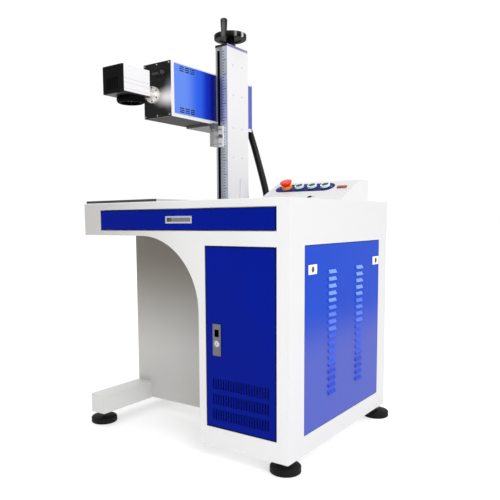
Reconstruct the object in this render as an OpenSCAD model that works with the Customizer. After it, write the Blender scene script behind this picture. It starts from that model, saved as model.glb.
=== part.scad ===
// Laser marking machine: a pedestal desk with a drawer and a knee arch, a hand-cranked
// column at the back, and a laser box with a scan head that rides up and down on it.
// Millimetres, +Z up. The origin is on the floor, under the middle of the machine.
// Places are measured from the left side and from the front face of the desk.

/* [Table] */
// Width of the desk
table_w = 770; // [700:5:900]
// Depth of the desk
table_d = 656; // [620:4:720]
// Height of the desk's top face above the floor
table_h = 738; // [700:2:800]
// Height of the band round the desk that holds the drawer
apron_h = 102; // [98:1:120]
// Thickness of the folded sheet steel
sheet_t = 2; // [1.5:0.5:3]
// Running gap round the door, the drawer and the side panel
panel_gap = 2; // [1.5:0.5:3]
// Folded depth of the door, the drawer front and the side panel
panel_depth = 14; // [12:1:18]
// Margin from the desk's right side to the door and the drawer
side_margin = 36.5; // [25:0.5:45]

/* [Pedestal] */
// Width of the pedestal
pedestal_w = 295; // [285:1:320]
// Height of the pedestal's floor above the ground
foot_h = 38; // [34:1:60]
// Radius of the knee arch in the front sheet
arch_r = 217; // [150:1:240]
// Height of the equipment shelf above the pedestal's floor
shelf_h = 290; // [280:5:330]

/* [Levelling feet] */
// Diameter of a foot pad
pad_d = 86; // [60:1:90]
// Height of a foot pad
pad_h = 24; // [18:1:28]
// Diameter of a foot's threaded stud
stud_d = 12; // [8:1:16]
// Right front stud, from the right side
front_stud_in = 34; // [30:1:60]
// The other studs, from their nearest side
stud_in = 16; // [15:1:40]
// Front studs, from the front face
stud_front = 44; // [40:1:60]
// Rear studs, from the rear face
stud_rear = 31; // [30:1:60]

/* [Left leg] */
// Front face of the leg panel, from the front face of the desk
leg_front = 230; // [200:5:300]
// Depth of the leg panel
leg_t = 30; // [25:1:40]
// Width of the foot beam
beam_w = 64; // [56:1:100]
// Height of the foot beam
beam_h = 60; // [50:1:70]
// Lift of the foot beam above the pedestal's floor level
beam_lift = 6; // [4:1:12]
// Corner radius of the foot beam in plan
beam_corner = 8; // [4:1:20]

/* [Drawer] */
// Width of the drawer front
drawer_w = 656; // [600:1:680]
// Height of the drawer front
drawer_h = 61; // [58:1:66]
// Margin from the desk's top face to the drawer front
drawer_top = 24; // [20:0.5:28]
// Depth of the drawer tray
tray_d = 376; // [340:4:400]
// Thickness of the tray's sheet
tray_t = 1.5; // [1:0.5:2]
// Width of a drawer runner
runner_w = 12; // [10:1:14]
// Length of the drawer pull
pull_w = 100; // [80:2:130]
// Height of the drawer pull
pull_h = 21; // [18:1:30]

/* [Door] */
// Width of the door
door_w = 232; // [200:1:238]
// Height of the door
door_h = 513; // [480:1:520]
// Bottom of the door above the pedestal's floor level
door_low = 58; // [50:1:70]
// Diameter of the door's hinge pins
pin_d = 6; // [4:0.5:8]
// Hinge pin, from the door's right edge and from its front
pin_in = 7; // [6:0.5:8]
// Width of a vent slot in the door
vent_w = 4; // [3:0.5:5]
// Height of a vent slot in the door
vent_h = 31; // [20:1:36]
// Vent slots in a row
vent_count = 22; // [10:1:23]
// Distance from one vent slot to the next
vent_pitch = 8.7; // [8:0.1:9]
// Height of the lowest vent row above the door's bottom edge
vent_low = 22; // [15:1:40]
// Distance from one vent row to the next
vent_row = 44; // [40:1:50]
// Width of the lock plate
lock_w = 28; // [22:1:34]
// Height of the lock plate
lock_h = 90; // [70:1:110]
// Bottom of the lock plate above the door's bottom edge
lock_low = 207; // [180:1:260]
// Lock plate, from the door's left edge
lock_in = 25; // [20:1:40]

/* [Side panel] */
// Height of the side panel
side_h = 517; // [490:1:530]
// Front edge of the side panel, from the front face
side_front = 87; // [70:1:95]
// Rear edge of the side panel, from the rear face
side_rear = 66; // [56:1:110]
// Bottom of the side panel above the pedestal's floor level
side_low = 56; // [50:1:70]
// Length of a louvre
louvre_w = 44; // [30:1:60]
// Height of a louvre
louvre_h = 12; // [8:0.5:14]
// How far a louvre stands out
louvre_out = 6; // [4:0.5:8]
// Louvres in a column
louvre_count = 18; // [8:1:18]
// Distance from one louvre to the next
louvre_pitch = 20.7; // [18:0.1:21]
// Lowest louvre above the panel's bottom edge
louvre_low = 82; // [60:1:90]
// Distance between the two columns of louvres
louvre_gap = 186; // [150:2:220]
// Width of a latch plate
latch_w = 46; // [36:1:50]
// Height of a latch plate
latch_h = 26; // [22:1:36]

/* [Work plate] */
// Width and depth of the work plate
plate_w = 310; // [280:5:320]
// Thickness of the work plate
plate_t = 8; // [6:1:12]
// Distance between the fixing holes in the work plate
plate_pitch = 50; // [40:1:60]
// Diameter of the tapped holes in the work plate
plate_hole_d = 5; // [4:0.5:8]

/* [Console] */
// Height of the control console
console_h = 64; // [56:1:76]
// Front of the console's slope, from the front face
console_front = 299; // [260:1:320]
// Rear of the console's slope, from the front face
console_ridge = 432; // [415:1:450]
// Rear of the console, from the front face
console_rear = 493; // [470:1:520]
// Length of the blue control plate
badge_w = 208; // [190:1:220]
// Width of the blue control plate
badge_h = 56; // [48:1:64]
// Distance from one control to the next
control_pitch = 46; // [42:1:48]
// Diameter of a control's mounting hole
control_d = 22; // [16:1:24]
// Outer diameter of a push button's ring
ring_d = 30; // [28:1:34]
// Diameter of the emergency stop's head
estop_d = 40; // [35:1:42]

/* [Column] */
// Width of the column
column_w = 51; // [48:1:60]
// Depth of the column
column_d = 130; // [116:1:150]
// Left side of the column, from the left side of the desk
column_left = 209; // [206:1:240]
// Front face of the column, from the rear face of the desk
column_back = 216; // [196:1:220]
// Height of the column above the desk
column_h = 555; // [540:1:620]
// Wall of the column's extrusion
column_t = 5; // [4:0.5:6]
// Width of the slot in the column's front
slot_w = 12; // [10:0.5:14]
// Width of the ruler on the column's front
ruler_w = 20; // [14:1:22]
// Diameter of the lead screw
screw_d = 16; // [12:1:20]
// Diameter of a guide rod
rod_d = 12; // [10:1:16]

/* [Handwheel] */
// Diameter of the handwheel
wheel_d = 117; // [100:1:125]
// Thickness of the handwheel's rim
wheel_t = 18; // [16:1:34]
// Clear height between the column's cap and the rim
wheel_gap = 29; // [20:1:34]
// Length of the handle's grip
grip_l = 44; // [40:1:70]
// Top diameter of the grip
grip_d = 25; // [20:1:28]

/* [Laser box] */
// Width of the laser box
box_w = 120; // [110:1:124]
// Height of the laser box
box_h = 178; // [160:1:190]
// Length of the laser box
box_l = 475; // [440:1:480]
// Left side of the laser box, from the left side of the desk
box_left = 86; // [80:1:88]
// How far the laser box reaches in front of the column
box_reach = 240; // [230:1:250]
// Bottom of the laser box above the desk
box_low = 287; // [270:1:330]
// Thickness of the laser box's walls
box_t = 2.5; // [2:0.5:4]
// Height of the beam above the laser box's bottom
beam_up = 75; // [60:1:90]
// Diameter of the beam tube
tube_d = 36; // [30:1:44]
// Free length of the beam tube
tube_l = 82; // [74:1:92]
// Diameter of the beam tube's flange
flange_d = 54; // [46:1:64]

/* [Scan head] */
// Width of the scan head
head_w = 86; // [80:1:100]
// Length of the scan head
head_l = 118; // [110:1:126]
// Height of the scan head's housing
head_h = 79; // [76:1:96]
// Bottom of the housing above the desk
head_low = 337.5; // [330:0.5:390]
// Distance from the beam to the lens, side to side
mirror_step = 17; // [14:0.5:18]
// Lens centre, from the front of the scan head
lens_in = 76; // [68:1:82]
// Diameter of the lens barrel
lens_d = 89; // [70:1:94]
// Height of the lens barrel
lens_h = 19; // [16:1:36]
// Diameter of the clear lens
glass_d = 70; // [50:1:76]

/* [Hidden] */

$fn = 48;
// How far each cut runs past the face that it opens
over = 1;
// Clearance of a shaft or rod in its bore
fit = 0.05;
// Clearance between pieces that lie close without touching
near = 0.3;

// What stands at the rear keeps its distance from the desk's rear face
column_front = table_d - column_back;
box_front = column_front - box_reach;
head_front = box_front - tube_l - head_l;
side_w = table_d - side_front - side_rear;

// Elbow of the hose behind the laser box
hose_d = 25;
elbow_d = 33;
elbow_out = 15.5;
hose_exit_back = box_front + box_l + elbow_out;
pipe_r = elbow_d / 2 - sheet_t;

// The laser box reaches past the desk's rear, and the origin is in the middle of both
rear_out = box_front + box_l - table_d;
left_x = -table_w / 2;
front_y = -(table_d + rear_out) / 2;
right_x = left_x + table_w;

// Levels
base_z = foot_h;
apron_z = table_h - apron_h;
under_top_z = table_h - sheet_t;
shelf_z = base_z + shelf_h;
wall_left = table_w - pedestal_w;

// Drawer
drawer_left = table_w - side_margin - drawer_w;
drawer_z = table_h - drawer_top - drawer_h;
tray_side = 14;
tray_up = 5;
tray_z = drawer_z + tray_up;
tray_h = 48;
tray_left = drawer_left + tray_side;
tray_w = drawer_w - 2 * tray_side;
rail_h = 30;
rail_t = 1.5;
rail_up = 9;
rail_z = tray_z + rail_up;
cup_depth = 11;
cup_t = 1.5;
cup_margin = 6;
pull_proud = 1.5;

// Door
door_left = table_w - side_margin - door_w;
door_right = door_left + door_w;
door_z = base_z + door_low;
hinge_left = door_right - pin_in;
hinge_reach = 14;
hinge_bracket_w = 22;
hinge_bracket_t = 6;
lock_left = door_left + lock_in;
lock_z = door_z + lock_low;
lock_t = 2;
plug_d = 15;
plug_up = 35;
plug_left = lock_left + lock_w / 2;
cam_w = 12;
cam_t = 3;
cam_reach = 52;
finger_w = 18;
finger_h = 24;
finger_up = 52;

// Side panel
side_z = base_z + side_low;
latch_high = 65;
latch_front_in = 41;
latch_rear_in = 29;
latch_t = 2;
latch_plug_d = 17;
tongue_w = 12;
tongue_t = 3;
tab_w = 30;
tab_drop = 10;
tab_in = 80;

// Feet
beam_t = 2.5;
nut_af = 19;
nut_h = 9;
socket_z = 14;
stud_l = 48;

// Work plate
plate_left = 6;
plate_front = 4;
plate_rows = 5;

// Console
slope_run = console_ridge - console_front;
slope_a = atan(console_h / slope_run);
slope_l = console_h / sin(slope_a);
badge_s = 101;
badge_t = 1.5;
badge_in = 21;
badge_left = wall_left + badge_in;
control_in = 40;
control_first = badge_left + control_in;
stem_gap = 0.3;
ring_up = 8;
ring_floor = 1;
barrel_l = 32;
stop_ring_d = 34;
stop_ring_up = 8;
button_travel = 3;
stop_travel = 4;
display_w = 30;
display_h = 10;
display_left = 244;
display_s = 92;
display_t = 5;
port_left = 179;
port_s = 28;
port_w = 11;
port_h = 10;
port_l = 9;

// Column
foot_plate_t = 8;
column_z = table_h + foot_plate_t;
foot_reach = 2;
gusset_t = 4;
gusset_h = 88;
gusset_top = 40;
gusset_rake = 8;
gusset_in = 62;
cover_t = 2;
column_top = table_h + column_h;
column_rear = column_front + column_d;
slot_in = 7;
slot_left = column_left + slot_in;
slot_end = 12;
screw_in = 22;
screw_left = column_left + screw_in;
screw_deep = 60;
screw_back = column_front + screw_deep;
rod_off = 40;
cap_t = 8;
cap_lip = 1;
cap_short = 5;
boss_d = 38;
boss_h = 11;
foot_boss_h = 12;
ruler_t = 1;

// Sliding carriage
block_w = 31;
block_d = 102;
block_low = 206;
block_z = table_h + block_low;
slide_w = 36;
slide_t = 8;
slide_gap = 2;
slide_out = 0;
slide_left = column_left - slide_out;
shelf_t = 8;
shelf_under_z = table_h + box_low - shelf_t;
block_h = shelf_under_z - block_z;
bracket_w = 19;
bracket_d = 26;
knob_d = 12;
knob_l = 10;
knob_shaft_d = 5;

// Handwheel
wheel_z = column_top + cap_t + wheel_gap;
wheel_top = wheel_z + wheel_t;
rim_w = 20;
rim_r = 3;
web_t = 9;
web_up = 3;
hub_d = 30;
hub_gap = 2;
hub_z = column_top + cap_t + boss_h + hub_gap;
grip_off = 46;
grip_turn = -83;
spindle_d = 8;
grip_low_d = 21;

// Laser box
box_z = table_h + box_low;
box_right = box_left + box_w;
beam_z = box_z + beam_up;
head_aside = 2;
lens_left = box_left + box_w / 2 + head_aside;
beam_left = lens_left - mirror_step;
plate_thin = 3;
side_t = 1.5;
side_edge = 12;
skin_front = 18;
skin_rear = 4;
skin_top = 5;
skin_l = box_l - skin_front - skin_rear;
skin_h = box_h - side_edge - skin_top;
vent_slot_l = 23.5;
vent_slot_h = 3.6;
vent_slot_pitch = 6.6;
vent_col_pitch = 28.5;
vent_cols = 3;
vent_rows = 3;
vent_in = 25;
vent_up = 5;
vent_lip = 1.5;
group_l = (vent_cols - 1) * vent_col_pitch + vent_slot_l;
group_h = (vent_rows - 1) * vent_slot_pitch + vent_slot_h;
// The low front corners of the four groups of slots in a side panel
group_fronts = [vent_in, skin_l - vent_in - group_l];
group_lows = [vent_up, skin_h - vent_up - group_h];
beam_hole_d = 20;
cap_knob_left = 89;
cap_knob_up = 143;
cap_knob_d = 14;
cap_knob_l = 9;
bar_left = 62;
bar_up = 137;
bar_w = 24;
bar_h = 7;
bar_l = 12;

// Scan head
head_z = table_h + head_low;
head_t = 3;
base_t = 4;
cover_front_t = 6;
head_left = lens_left - head_w / 2;
lens_back = head_front + lens_in;
cover_back = head_front + cover_front_t;
rib_count = 7;
rib_deep = 2.5;
window_w = 52;
window_h = 36;
window_low = 7;
rib_w = 5;
lens_z = head_z - base_t - lens_h;
glass_t = 4;
glass_up = 6;
barrel_t = 4;
mirror_w = 14;
mirror_t = 1.5;
motor_d = 20;
motor_gap = 11;
holder_d = 5;
holder_grip = 2.2;
isolator_d = 38;
isolator_l = 180;
cradle_w = 46;
cradle_l = 20;

// Hose: the points of its centre line, from the desk's left side, its rear face and its top
hose_exit_left = 171;
gland_left = 301;
gland_in = 24;
gland_back = table_d - gland_in;
gland_h = 22;
gland_d = 40;
elbow_up = 101;
elbow_drop = 20;
hose_points = [
    [171, 34.5, 368], [171, 34.5, 358], [172, 34.5, 342], [175.4, 34.5, 322], [181, 34.5, 302],
    [188.2, 34.3, 282], [196.6, 32.5, 262], [208.3, 27.7, 237], [220.8, 21, 212], [233.8, 12.9, 187],
    [247.1, 4.2, 162], [260.3, -4.4, 137], [272.8, -12.2, 112], [284.2, -18.6, 87], [293.7, -22.6, 62],
    [297.9, -23.6, 47], [300.2, -23.9, 34], [301, -24, 22]
];
hose_sides = 10;

// Equipment inside the pedestal
source_w = 240;
source_d = 390;
source_h = 120;
source_back = 130;
computer_w = 180;
computer_d = 420;
computer_h = 250;
computer_back = 120;
shelf_front = 74;
equipment_in = 14;
bay_w = 146;
bay_h = 40;
bay_deep = 3;
bay_pitch = 52;
fan_hole_d = 70;

function at_x(from_left) = left_x + from_left;
function at_y(from_front) = front_y + from_front;

// A box whose low corner is given from the desk's left side, its front face and the floor
module block(from_left, from_front, z, w, d, h) {
    translate([at_x(from_left), at_y(from_front), z]) cube([w, d, h]);
}

// An upright cylinder
module post(from_left, from_front, z, r, h) {
    translate([at_x(from_left), at_y(from_front), z]) cylinder(r = r, h = h);
}

// A cylinder that runs backwards from its front end
module bar(from_left, from_front, z, r, l) {
    translate([at_x(from_left), at_y(from_front), z]) rotate([-90, 0, 0]) cylinder(r = r, h = l);
}

// A rectangle with round corners, its low corner at the origin
module rounded(w, d, r) {
    translate([r, 0]) square([w - 2 * r, d]);
    translate([0, r]) square([w, d - 2 * r]);
    for (x = [r, w - r], y = [r, d - r]) translate([x, y]) circle(r = r);
}

// A rectangle with its two left corners round
module left_rounded(w, d, r) {
    rounded(w - r, d, r);
    translate([w / 2, 0]) square([w / 2, d]);
}

// Places its children on the console's slope: across from the left side, up the slope
module on_slope(from_left, s) {
    translate([at_x(from_left), at_y(console_front + s * cos(slope_a)), table_h + s * sin(slope_a)])
        rotate([slope_a, 0, 0]) children();
}

module front_fascia() {
    drawer_gap_w = drawer_w + 2 * panel_gap;
    door_gap_w = door_w + 2 * panel_gap;
    lip = panel_depth - sheet_t;
    color("gainsboro") {
        difference() {
            block(0, 0, base_z, table_w, sheet_t, under_top_z - base_z);
            block(-over, -over, base_z - over, wall_left - arch_r + over, sheet_t + 2 * over,
                apron_z - base_z + over);
            block(-over, -over, base_z - over, wall_left + over, sheet_t + 2 * over,
                apron_z - arch_r - base_z + over);
            bar(wall_left - arch_r, -over, apron_z - arch_r, arch_r, sheet_t + 2 * over, $fn = 96);
            block(drawer_left - panel_gap, -over, drawer_z - panel_gap, drawer_gap_w,
                sheet_t + 2 * over, drawer_h + 2 * panel_gap);
            block(door_left - panel_gap, -over, door_z - panel_gap, door_gap_w,
                sheet_t + 2 * over, door_h + 2 * panel_gap);
        }
        block(door_left - panel_gap - sheet_t, sheet_t, door_z, sheet_t, lip, door_h);
    }
}

module table_top() {
    color("whitesmoke") {
        difference() {
            block(0, 0, under_top_z, table_w, table_d, sheet_t);
            post(gland_left, gland_back, under_top_z - over, hose_d / 2, sheet_t + 2 * over);
        }
        block(0, sheet_t, apron_z, sheet_t, table_d - sheet_t, apron_h - sheet_t);
        block(0, table_d - sheet_t, apron_z, table_w - sheet_t, sheet_t, apron_h - sheet_t);
        block(0, sheet_t, apron_z, side_margin, table_d - sheet_t, sheet_t);
        block(0, table_d - side_margin, apron_z, wall_left, side_margin, sheet_t);
    }
}

module pedestal_shell() {
    inner_d = table_d - 2 * sheet_t;
    inner_w = pedestal_w - sheet_t;
    stud_hole_r = stud_d / 2 + near;
    frame_t = panel_gap + sheet_t + near;
    color("gainsboro") difference() {
        union() {
            block(wall_left, sheet_t, base_z, sheet_t, inner_d, apron_z - base_z);
            block(wall_left, table_d - sheet_t, base_z, inner_w, sheet_t, apron_z - base_z);
            block(wall_left, sheet_t, base_z, inner_w, inner_d, sheet_t);
            block(wall_left, shelf_front, shelf_z, inner_w, table_d - shelf_front - sheet_t, sheet_t);
        }
        block(table_w - panel_depth - panel_gap, side_front - frame_t, shelf_z - over,
            panel_depth + panel_gap, side_w + 2 * frame_t, sheet_t + 2 * over);
        post(table_w - front_stud_in, stud_front, base_z - over, stud_hole_r, sheet_t + 2 * over);
        post(table_w - stud_in, table_d - stud_rear, base_z - over, stud_hole_r, sheet_t + 2 * over);
    }
}

module pedestal_side_frame() {
    gap_w = side_w + 2 * panel_gap;
    gap_h = side_h + 2 * panel_gap;
    lip = panel_depth - sheet_t;
    sheet_left = table_w - sheet_t;
    color("white") {
        difference() {
            block(sheet_left, sheet_t, base_z, sheet_t, table_d - sheet_t, under_top_z - base_z);
            block(sheet_left - over, side_front - panel_gap, side_z - panel_gap,
                sheet_t + 2 * over, gap_w, gap_h);
        }
        for (y = [side_front - panel_gap - sheet_t, side_front + side_w + panel_gap])
            block(sheet_left - lip, y, side_z, lip, sheet_t, side_h);
    }
}

module leg_panel() {
    panel_z = base_z + beam_lift + sheet_t;
    panel_h = apron_z - panel_z;
    color("darkgray") difference() {
        block(0, leg_front, panel_z, wall_left, leg_t, panel_h);
        block(sheet_t, leg_front + sheet_t, panel_z + sheet_t, wall_left - 2 * sheet_t,
            leg_t, panel_h - 2 * sheet_t);
        block(-over, leg_front - over, panel_z - over, beam_w + over, leg_t + 2 * over,
            beam_h - sheet_t + over);
    }
}

module foot_beam() {
    beam_z = base_z + beam_lift;
    t = beam_t;
    plate_l = 4 * stud_d;
    color("lightgray") {
        difference() {
            translate([at_x(0), at_y(0), beam_z]) linear_extrude(beam_h)
                left_rounded(beam_w, table_d, beam_corner);
            translate([at_x(t), at_y(t), beam_z - over]) linear_extrude(beam_h - t + over)
                left_rounded(beam_w - 2 * t, table_d - 2 * t, beam_corner - t);
        }
        for (y = [stud_front, table_d - stud_rear]) difference() {
            block(t, y - plate_l / 2, beam_z, beam_w - 2 * t, plate_l, 2 * sheet_t);
            post(stud_in, y, beam_z - over, stud_d / 2 + near, 2 * sheet_t + 2 * over);
        }
    }
}

// The four feet: their places, and the underside that each one's nut is tightened against
foot_places = [
    [table_w - front_stud_in, stud_front, base_z],
    [table_w - stud_in, table_d - stud_rear, base_z],
    [stud_in, stud_front, base_z + beam_lift],
    [stud_in, table_d - stud_rear, base_z + beam_lift]
];
pad_profile_shares = [
    [0, 0], [0.93, 0], [1, 0.1], [1, 0.7], [0.94, 0.82], [0.8, 0.92], [0.55, 1], [0, 1]
];

module foot_pads() {
    color("black") for (p = foot_places) translate([at_x(p[0]), at_y(p[1]), 0]) difference() {
        rotate_extrude() polygon([for (s = pad_profile_shares) [s[0] * pad_d / 2, s[1] * pad_h]]);
        translate([0, 0, socket_z]) cylinder(r = stud_d / 2 + near, h = pad_h);
    }
}

module foot_studs() {
    color("silver") for (p = foot_places) translate([at_x(p[0]), at_y(p[1]), 0]) {
        translate([0, 0, socket_z]) cylinder(r = stud_d / 2, h = stud_l);
        translate([0, 0, p[2] - nut_h - near]) cylinder(d = nut_af / cos(30), h = nut_h, $fn = 6);
    }
}

module work_plate() {
    hole_r = plate_hole_d / 2;
    first = (plate_w - (plate_rows - 1) * plate_pitch) / 2;
    color("dimgray") difference() {
        block(plate_left, plate_front, table_h, plate_w, plate_w, plate_t);
        for (i = [0 : plate_rows - 1], j = [0 : plate_rows - 1])
            post(plate_left + first + i * plate_pitch, plate_front + first + j * plate_pitch,
                table_h - over, hole_r, plate_t + 2 * over, $fn = 24);
    }
}

module console_housing() {
    inner_h = console_h - sheet_t;
    outline = [
        [console_front, 0], [console_ridge, console_h], [console_rear, console_h], [console_rear, 0]
    ];
    inset = sheet_t / sin(slope_a);
    inner = [
        [console_front + inset, 0], [console_ridge + inset - sheet_t / tan(slope_a), inner_h],
        [console_rear - sheet_t, inner_h], [console_rear - sheet_t, 0]
    ];
    color("white") difference() {
        translate([at_x(wall_left), at_y(0), table_h]) rotate([90, 0, 90])
            linear_extrude(pedestal_w) polygon(outline);
        translate([at_x(wall_left + sheet_t), at_y(0), table_h - over]) rotate([90, 0, 90])
            linear_extrude(pedestal_w - 2 * sheet_t) union() {
                translate([0, over]) polygon(inner);
                translate([console_front + inset, 0])
                    square([console_rear - sheet_t - console_front - inset, over]);
            }
        for (i = [0 : 3]) on_slope(control_first + i * control_pitch, badge_s)
            translate([0, 0, -2 * sheet_t]) cylinder(r = control_d / 2 + near, h = 4 * sheet_t);
        on_slope(wall_left + port_left, port_s) translate([-port_w / 2, -port_h / 2, -2 * sheet_t])
            cube([port_w, port_h, 4 * sheet_t]);
    }
}

module console_badge() {
    r = badge_h / 2;
    color("mediumblue") on_slope(badge_left, badge_s) difference() {
        linear_extrude(badge_t) union() {
            translate([r, -r]) square([badge_w - badge_h, badge_h]);
            for (x = [r, badge_w - r]) translate([x, 0]) circle(r = r);
        }
        for (i = [0 : 3]) translate([control_first - badge_left + i * control_pitch, 0, -over])
            cylinder(r = control_d / 2 + near, h = badge_t + 2 * over);
    }
}

// A control's body: the ring above the plate, with a recess for the cap, and the barrel below
module switch_body(outer_d, up) {
    difference() {
        union() {
            translate([0, 0, badge_t]) cylinder(r = outer_d / 2, h = up);
            translate([0, 0, -barrel_l]) cylinder(r = control_d / 2, h = barrel_l + badge_t + over);
        }
        translate([0, 0, badge_t + ring_floor]) cylinder(r = control_d / 2 + stem_gap, h = up);
    }
}

module switch_bodies() {
    color("lightcyan") for (i = [1 : 3]) on_slope(control_first + i * control_pitch, badge_s)
        switch_body(ring_d, ring_up);
    color("orange") on_slope(control_first, badge_s) switch_body(stop_ring_d, stop_ring_up);
}

module console_inserts() {
    color("firebrick") on_slope(wall_left + display_left, display_s)
        translate([0, -display_h / 2, 0]) cube([display_w, display_h, display_t]);
    color("black") on_slope(wall_left + port_left, port_s) difference() {
        union() {
            translate([near - port_w / 2, near - port_h / 2, -port_l])
                cube([port_w - 2 * near, port_h - 2 * near, port_l]);
            translate([-port_w / 2 - over, -port_h / 2 - over, 0])
                cube([port_w + 2 * over, port_h + 2 * over, over]);
        }
        translate([over - port_w / 2, over - port_h / 2, over - port_l])
            cube([port_w - 2 * over, port_h - 2 * over, port_l + over]);
    }
}

module column_foot() {
    foot_d = column_d + foot_reach;
    color("silver") {
        block(column_left - gusset_t, column_front, table_h, column_w + 2 * gusset_t, foot_d,
            foot_plate_t);
        for (x = [column_left - gusset_t, column_left + column_w])
            translate([at_x(x), at_y(column_rear), column_z]) rotate([90, 0, 90])
                linear_extrude(gusset_t) polygon([
                    [foot_reach, 0], [gusset_rake + gusset_top - gusset_in, gusset_h],
                    [gusset_rake - gusset_in, gusset_h], [-gusset_in, 0]
                ]);
        difference() {
            post(screw_left, screw_back, column_z, block_w / 2, foot_boss_h);
            post(screw_left, screw_back, column_z + sheet_t, screw_d / 2 + fit, foot_boss_h);
        }
    }
}

module column_body() {
    tube_w = column_w - cover_t;
    color("silver") difference() {
        block(column_left, column_front, column_z, tube_w, column_d, column_top - column_z);
        block(column_left + column_t, column_front + column_t, column_z - over,
            tube_w - 2 * column_t, column_d - 2 * column_t, column_top - column_z + 2 * over);
        block(slot_left, column_front - over, column_z + slot_end, slot_w, column_t + 2 * over,
            column_top - column_z - 2 * slot_end);
    }
}

module column_side_cover() {
    color("white") block(column_left + column_w - cover_t, column_front, column_z, cover_t,
        column_d, column_top - column_z);
}

module ruler_strip() {
    color("lightsteelblue") block(column_left + column_w - ruler_w, column_front - ruler_t,
        column_z, ruler_w, ruler_t, column_top - column_z);
}

module column_cap() {
    color("darkslategray") difference() {
        union() {
            block(column_left - cap_lip, column_front - cap_lip, column_top,
                column_w + 2 * cap_lip, column_d + cap_lip - cap_short, cap_t);
            post(screw_left, screw_back, column_top, boss_d / 2, cap_t + boss_h);
        }
        post(screw_left, screw_back, column_top - over, screw_d / 2 + fit, cap_t + boss_h + 2 * over);
    }
}

module guide_rods() {
    color("silver") for (s = [-1, 1])
        post(screw_left, screw_back + s * rod_off, column_z, rod_d / 2, column_top - column_z);
}

// Each runner is a hanger plate under the desk with a rail on its inner side
module drawer_runners() {
    flange_w = 20;
    rail_back = panel_depth + sheet_t;
    rail_l = tray_d;
    hanger_h = under_top_z - rail_z;
    color("silver") {
        block(tray_left - runner_w - sheet_t, rail_back, rail_z, sheet_t, rail_l, hanger_h);
        block(tray_left - runner_w - flange_w, rail_back, under_top_z - sheet_t, flange_w, rail_l,
            sheet_t);
        block(tray_left - runner_w, rail_back, rail_z, runner_w / 2 - near, rail_l, rail_h);
        block(tray_left + tray_w + runner_w, rail_back, rail_z, sheet_t, rail_l, hanger_h);
        block(tray_left + tray_w + runner_w, rail_back, under_top_z - sheet_t, flange_w, rail_l,
            sheet_t);
        block(tray_left + tray_w + runner_w / 2 + near, rail_back, rail_z, runner_w / 2 - near,
            rail_l, rail_h);
    }
}

module laser_source() {
    color("dimgray") difference() {
        block(wall_left + sheet_t + equipment_in, source_back, shelf_z + sheet_t, source_w, source_d,
            source_h);
        for (i = [1, 3]) bar(wall_left + sheet_t + equipment_in + i * source_w / 4,
            source_back - over, shelf_z + sheet_t + source_h / 2, fan_hole_d / 2, bay_deep + over);
    }
}

module control_computer() {
    color("black") difference() {
        block(wall_left + sheet_t + equipment_in, computer_back, base_z + sheet_t, computer_w,
            computer_d, computer_h);
        for (i = [1, 2]) block(wall_left + sheet_t + equipment_in + (computer_w - bay_w) / 2,
            computer_back - over, base_z + sheet_t + computer_h - i * bay_pitch, bay_w,
            bay_deep + over, bay_h);
    }
}

// A bracket behind the front sheet with its pin, above and below the door
module door_hinges() {
    pin_l = hinge_bracket_t + 3 * sheet_t + panel_gap;
    for (top = [0, 1]) {
        z = top == 1 ? door_z + door_h + panel_gap : door_z - panel_gap - hinge_bracket_t;
        pin_z = top == 1 ? z + hinge_bracket_t - pin_l : z;
        color("silver") {
            block(hinge_left - hinge_bracket_w / 2, sheet_t, z, hinge_bracket_w, hinge_reach,
                hinge_bracket_t);
            post(hinge_left, pin_in, pin_z, pin_d / 2, pin_l);
        }
    }
}

module table_gland() {
    color("black") difference() {
        union() {
            post(gland_left, gland_back, table_h, gland_d / 2, gland_h / 2, $fn = 6);
            post(gland_left, gland_back, table_h, gland_d / 2 - 2 * sheet_t, gland_h);
        }
        post(gland_left, gland_back, table_h - over, hose_d / 2 - sheet_t, gland_h + 2 * over);
    }
}

// The nut block inside the column, with the tongue that comes out through the slot
module slide_block() {
    tongue_d = block_w / 3;
    color("slategray") difference() {
        union() {
            block(screw_left - block_w / 2, screw_back - block_d / 2, block_z, block_w, block_d,
                block_h);
            block(slot_left + near * 2, column_front - slide_gap, block_z, slot_w - 4 * near,
                screw_back - block_d / 2 - column_front + slide_gap + tongue_d, block_h);
        }
        post(screw_left, screw_back, block_z - over, screw_d / 2 + fit, block_h + 2 * over);
        for (s = [-1, 1]) post(screw_left, screw_back + s * rod_off, block_z - over,
            rod_d / 2 + fit, block_h + 2 * over);
    }
}

module slide_plate() {
    knob_left = slide_left + slide_w - knob_d / 2;
    color("silver") difference() {
        block(slide_left, column_front - slide_gap - slide_t, block_z, slide_w, slide_t,
            shelf_under_z - block_z);
        bar(knob_left, column_front - slide_gap - slide_t - over, block_z + block_h / 2,
            knob_shaft_d / 2 + fit, slide_t + 2 * over);
    }
}

// The shelf under the laser box, with the leg that bolts to the slide plate
module shelf_bracket() {
    plate_front_y = column_front - slide_gap - slide_t;
    leg_left = slide_left - sheet_t;
    leg_right = leg_left + bracket_w;
    color("gray") {
        block(leg_left, plate_front_y - bracket_d, block_z, bracket_w, bracket_d,
            shelf_under_z - block_z);
        block(box_left + side_edge, plate_front_y - bracket_d, shelf_under_z,
            leg_right - box_left - side_edge, bracket_d, shelf_t);
        block(box_left + side_edge, plate_front_y, shelf_under_z,
            column_left - sheet_t - box_left - side_edge, column_d, shelf_t);
    }
}

module laser_case() {
    inner_l = box_l - 2 * plate_thin;
    color("white") difference() {
        block(box_left, box_front + plate_thin, box_z, box_w, inner_l, box_h);
        block(box_left + box_t, box_front + plate_thin - over, box_z + box_t,
            box_w - 2 * box_t, inner_l + 2 * over, box_h - 2 * box_t);
        for (y = group_fronts, z = group_lows)
            block(box_left - over, box_front + skin_front + y - vent_lip,
                box_z + side_edge + z - vent_lip, box_w + 2 * over, group_l + 2 * vent_lip,
                group_h + 2 * vent_lip);
    }
}

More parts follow.
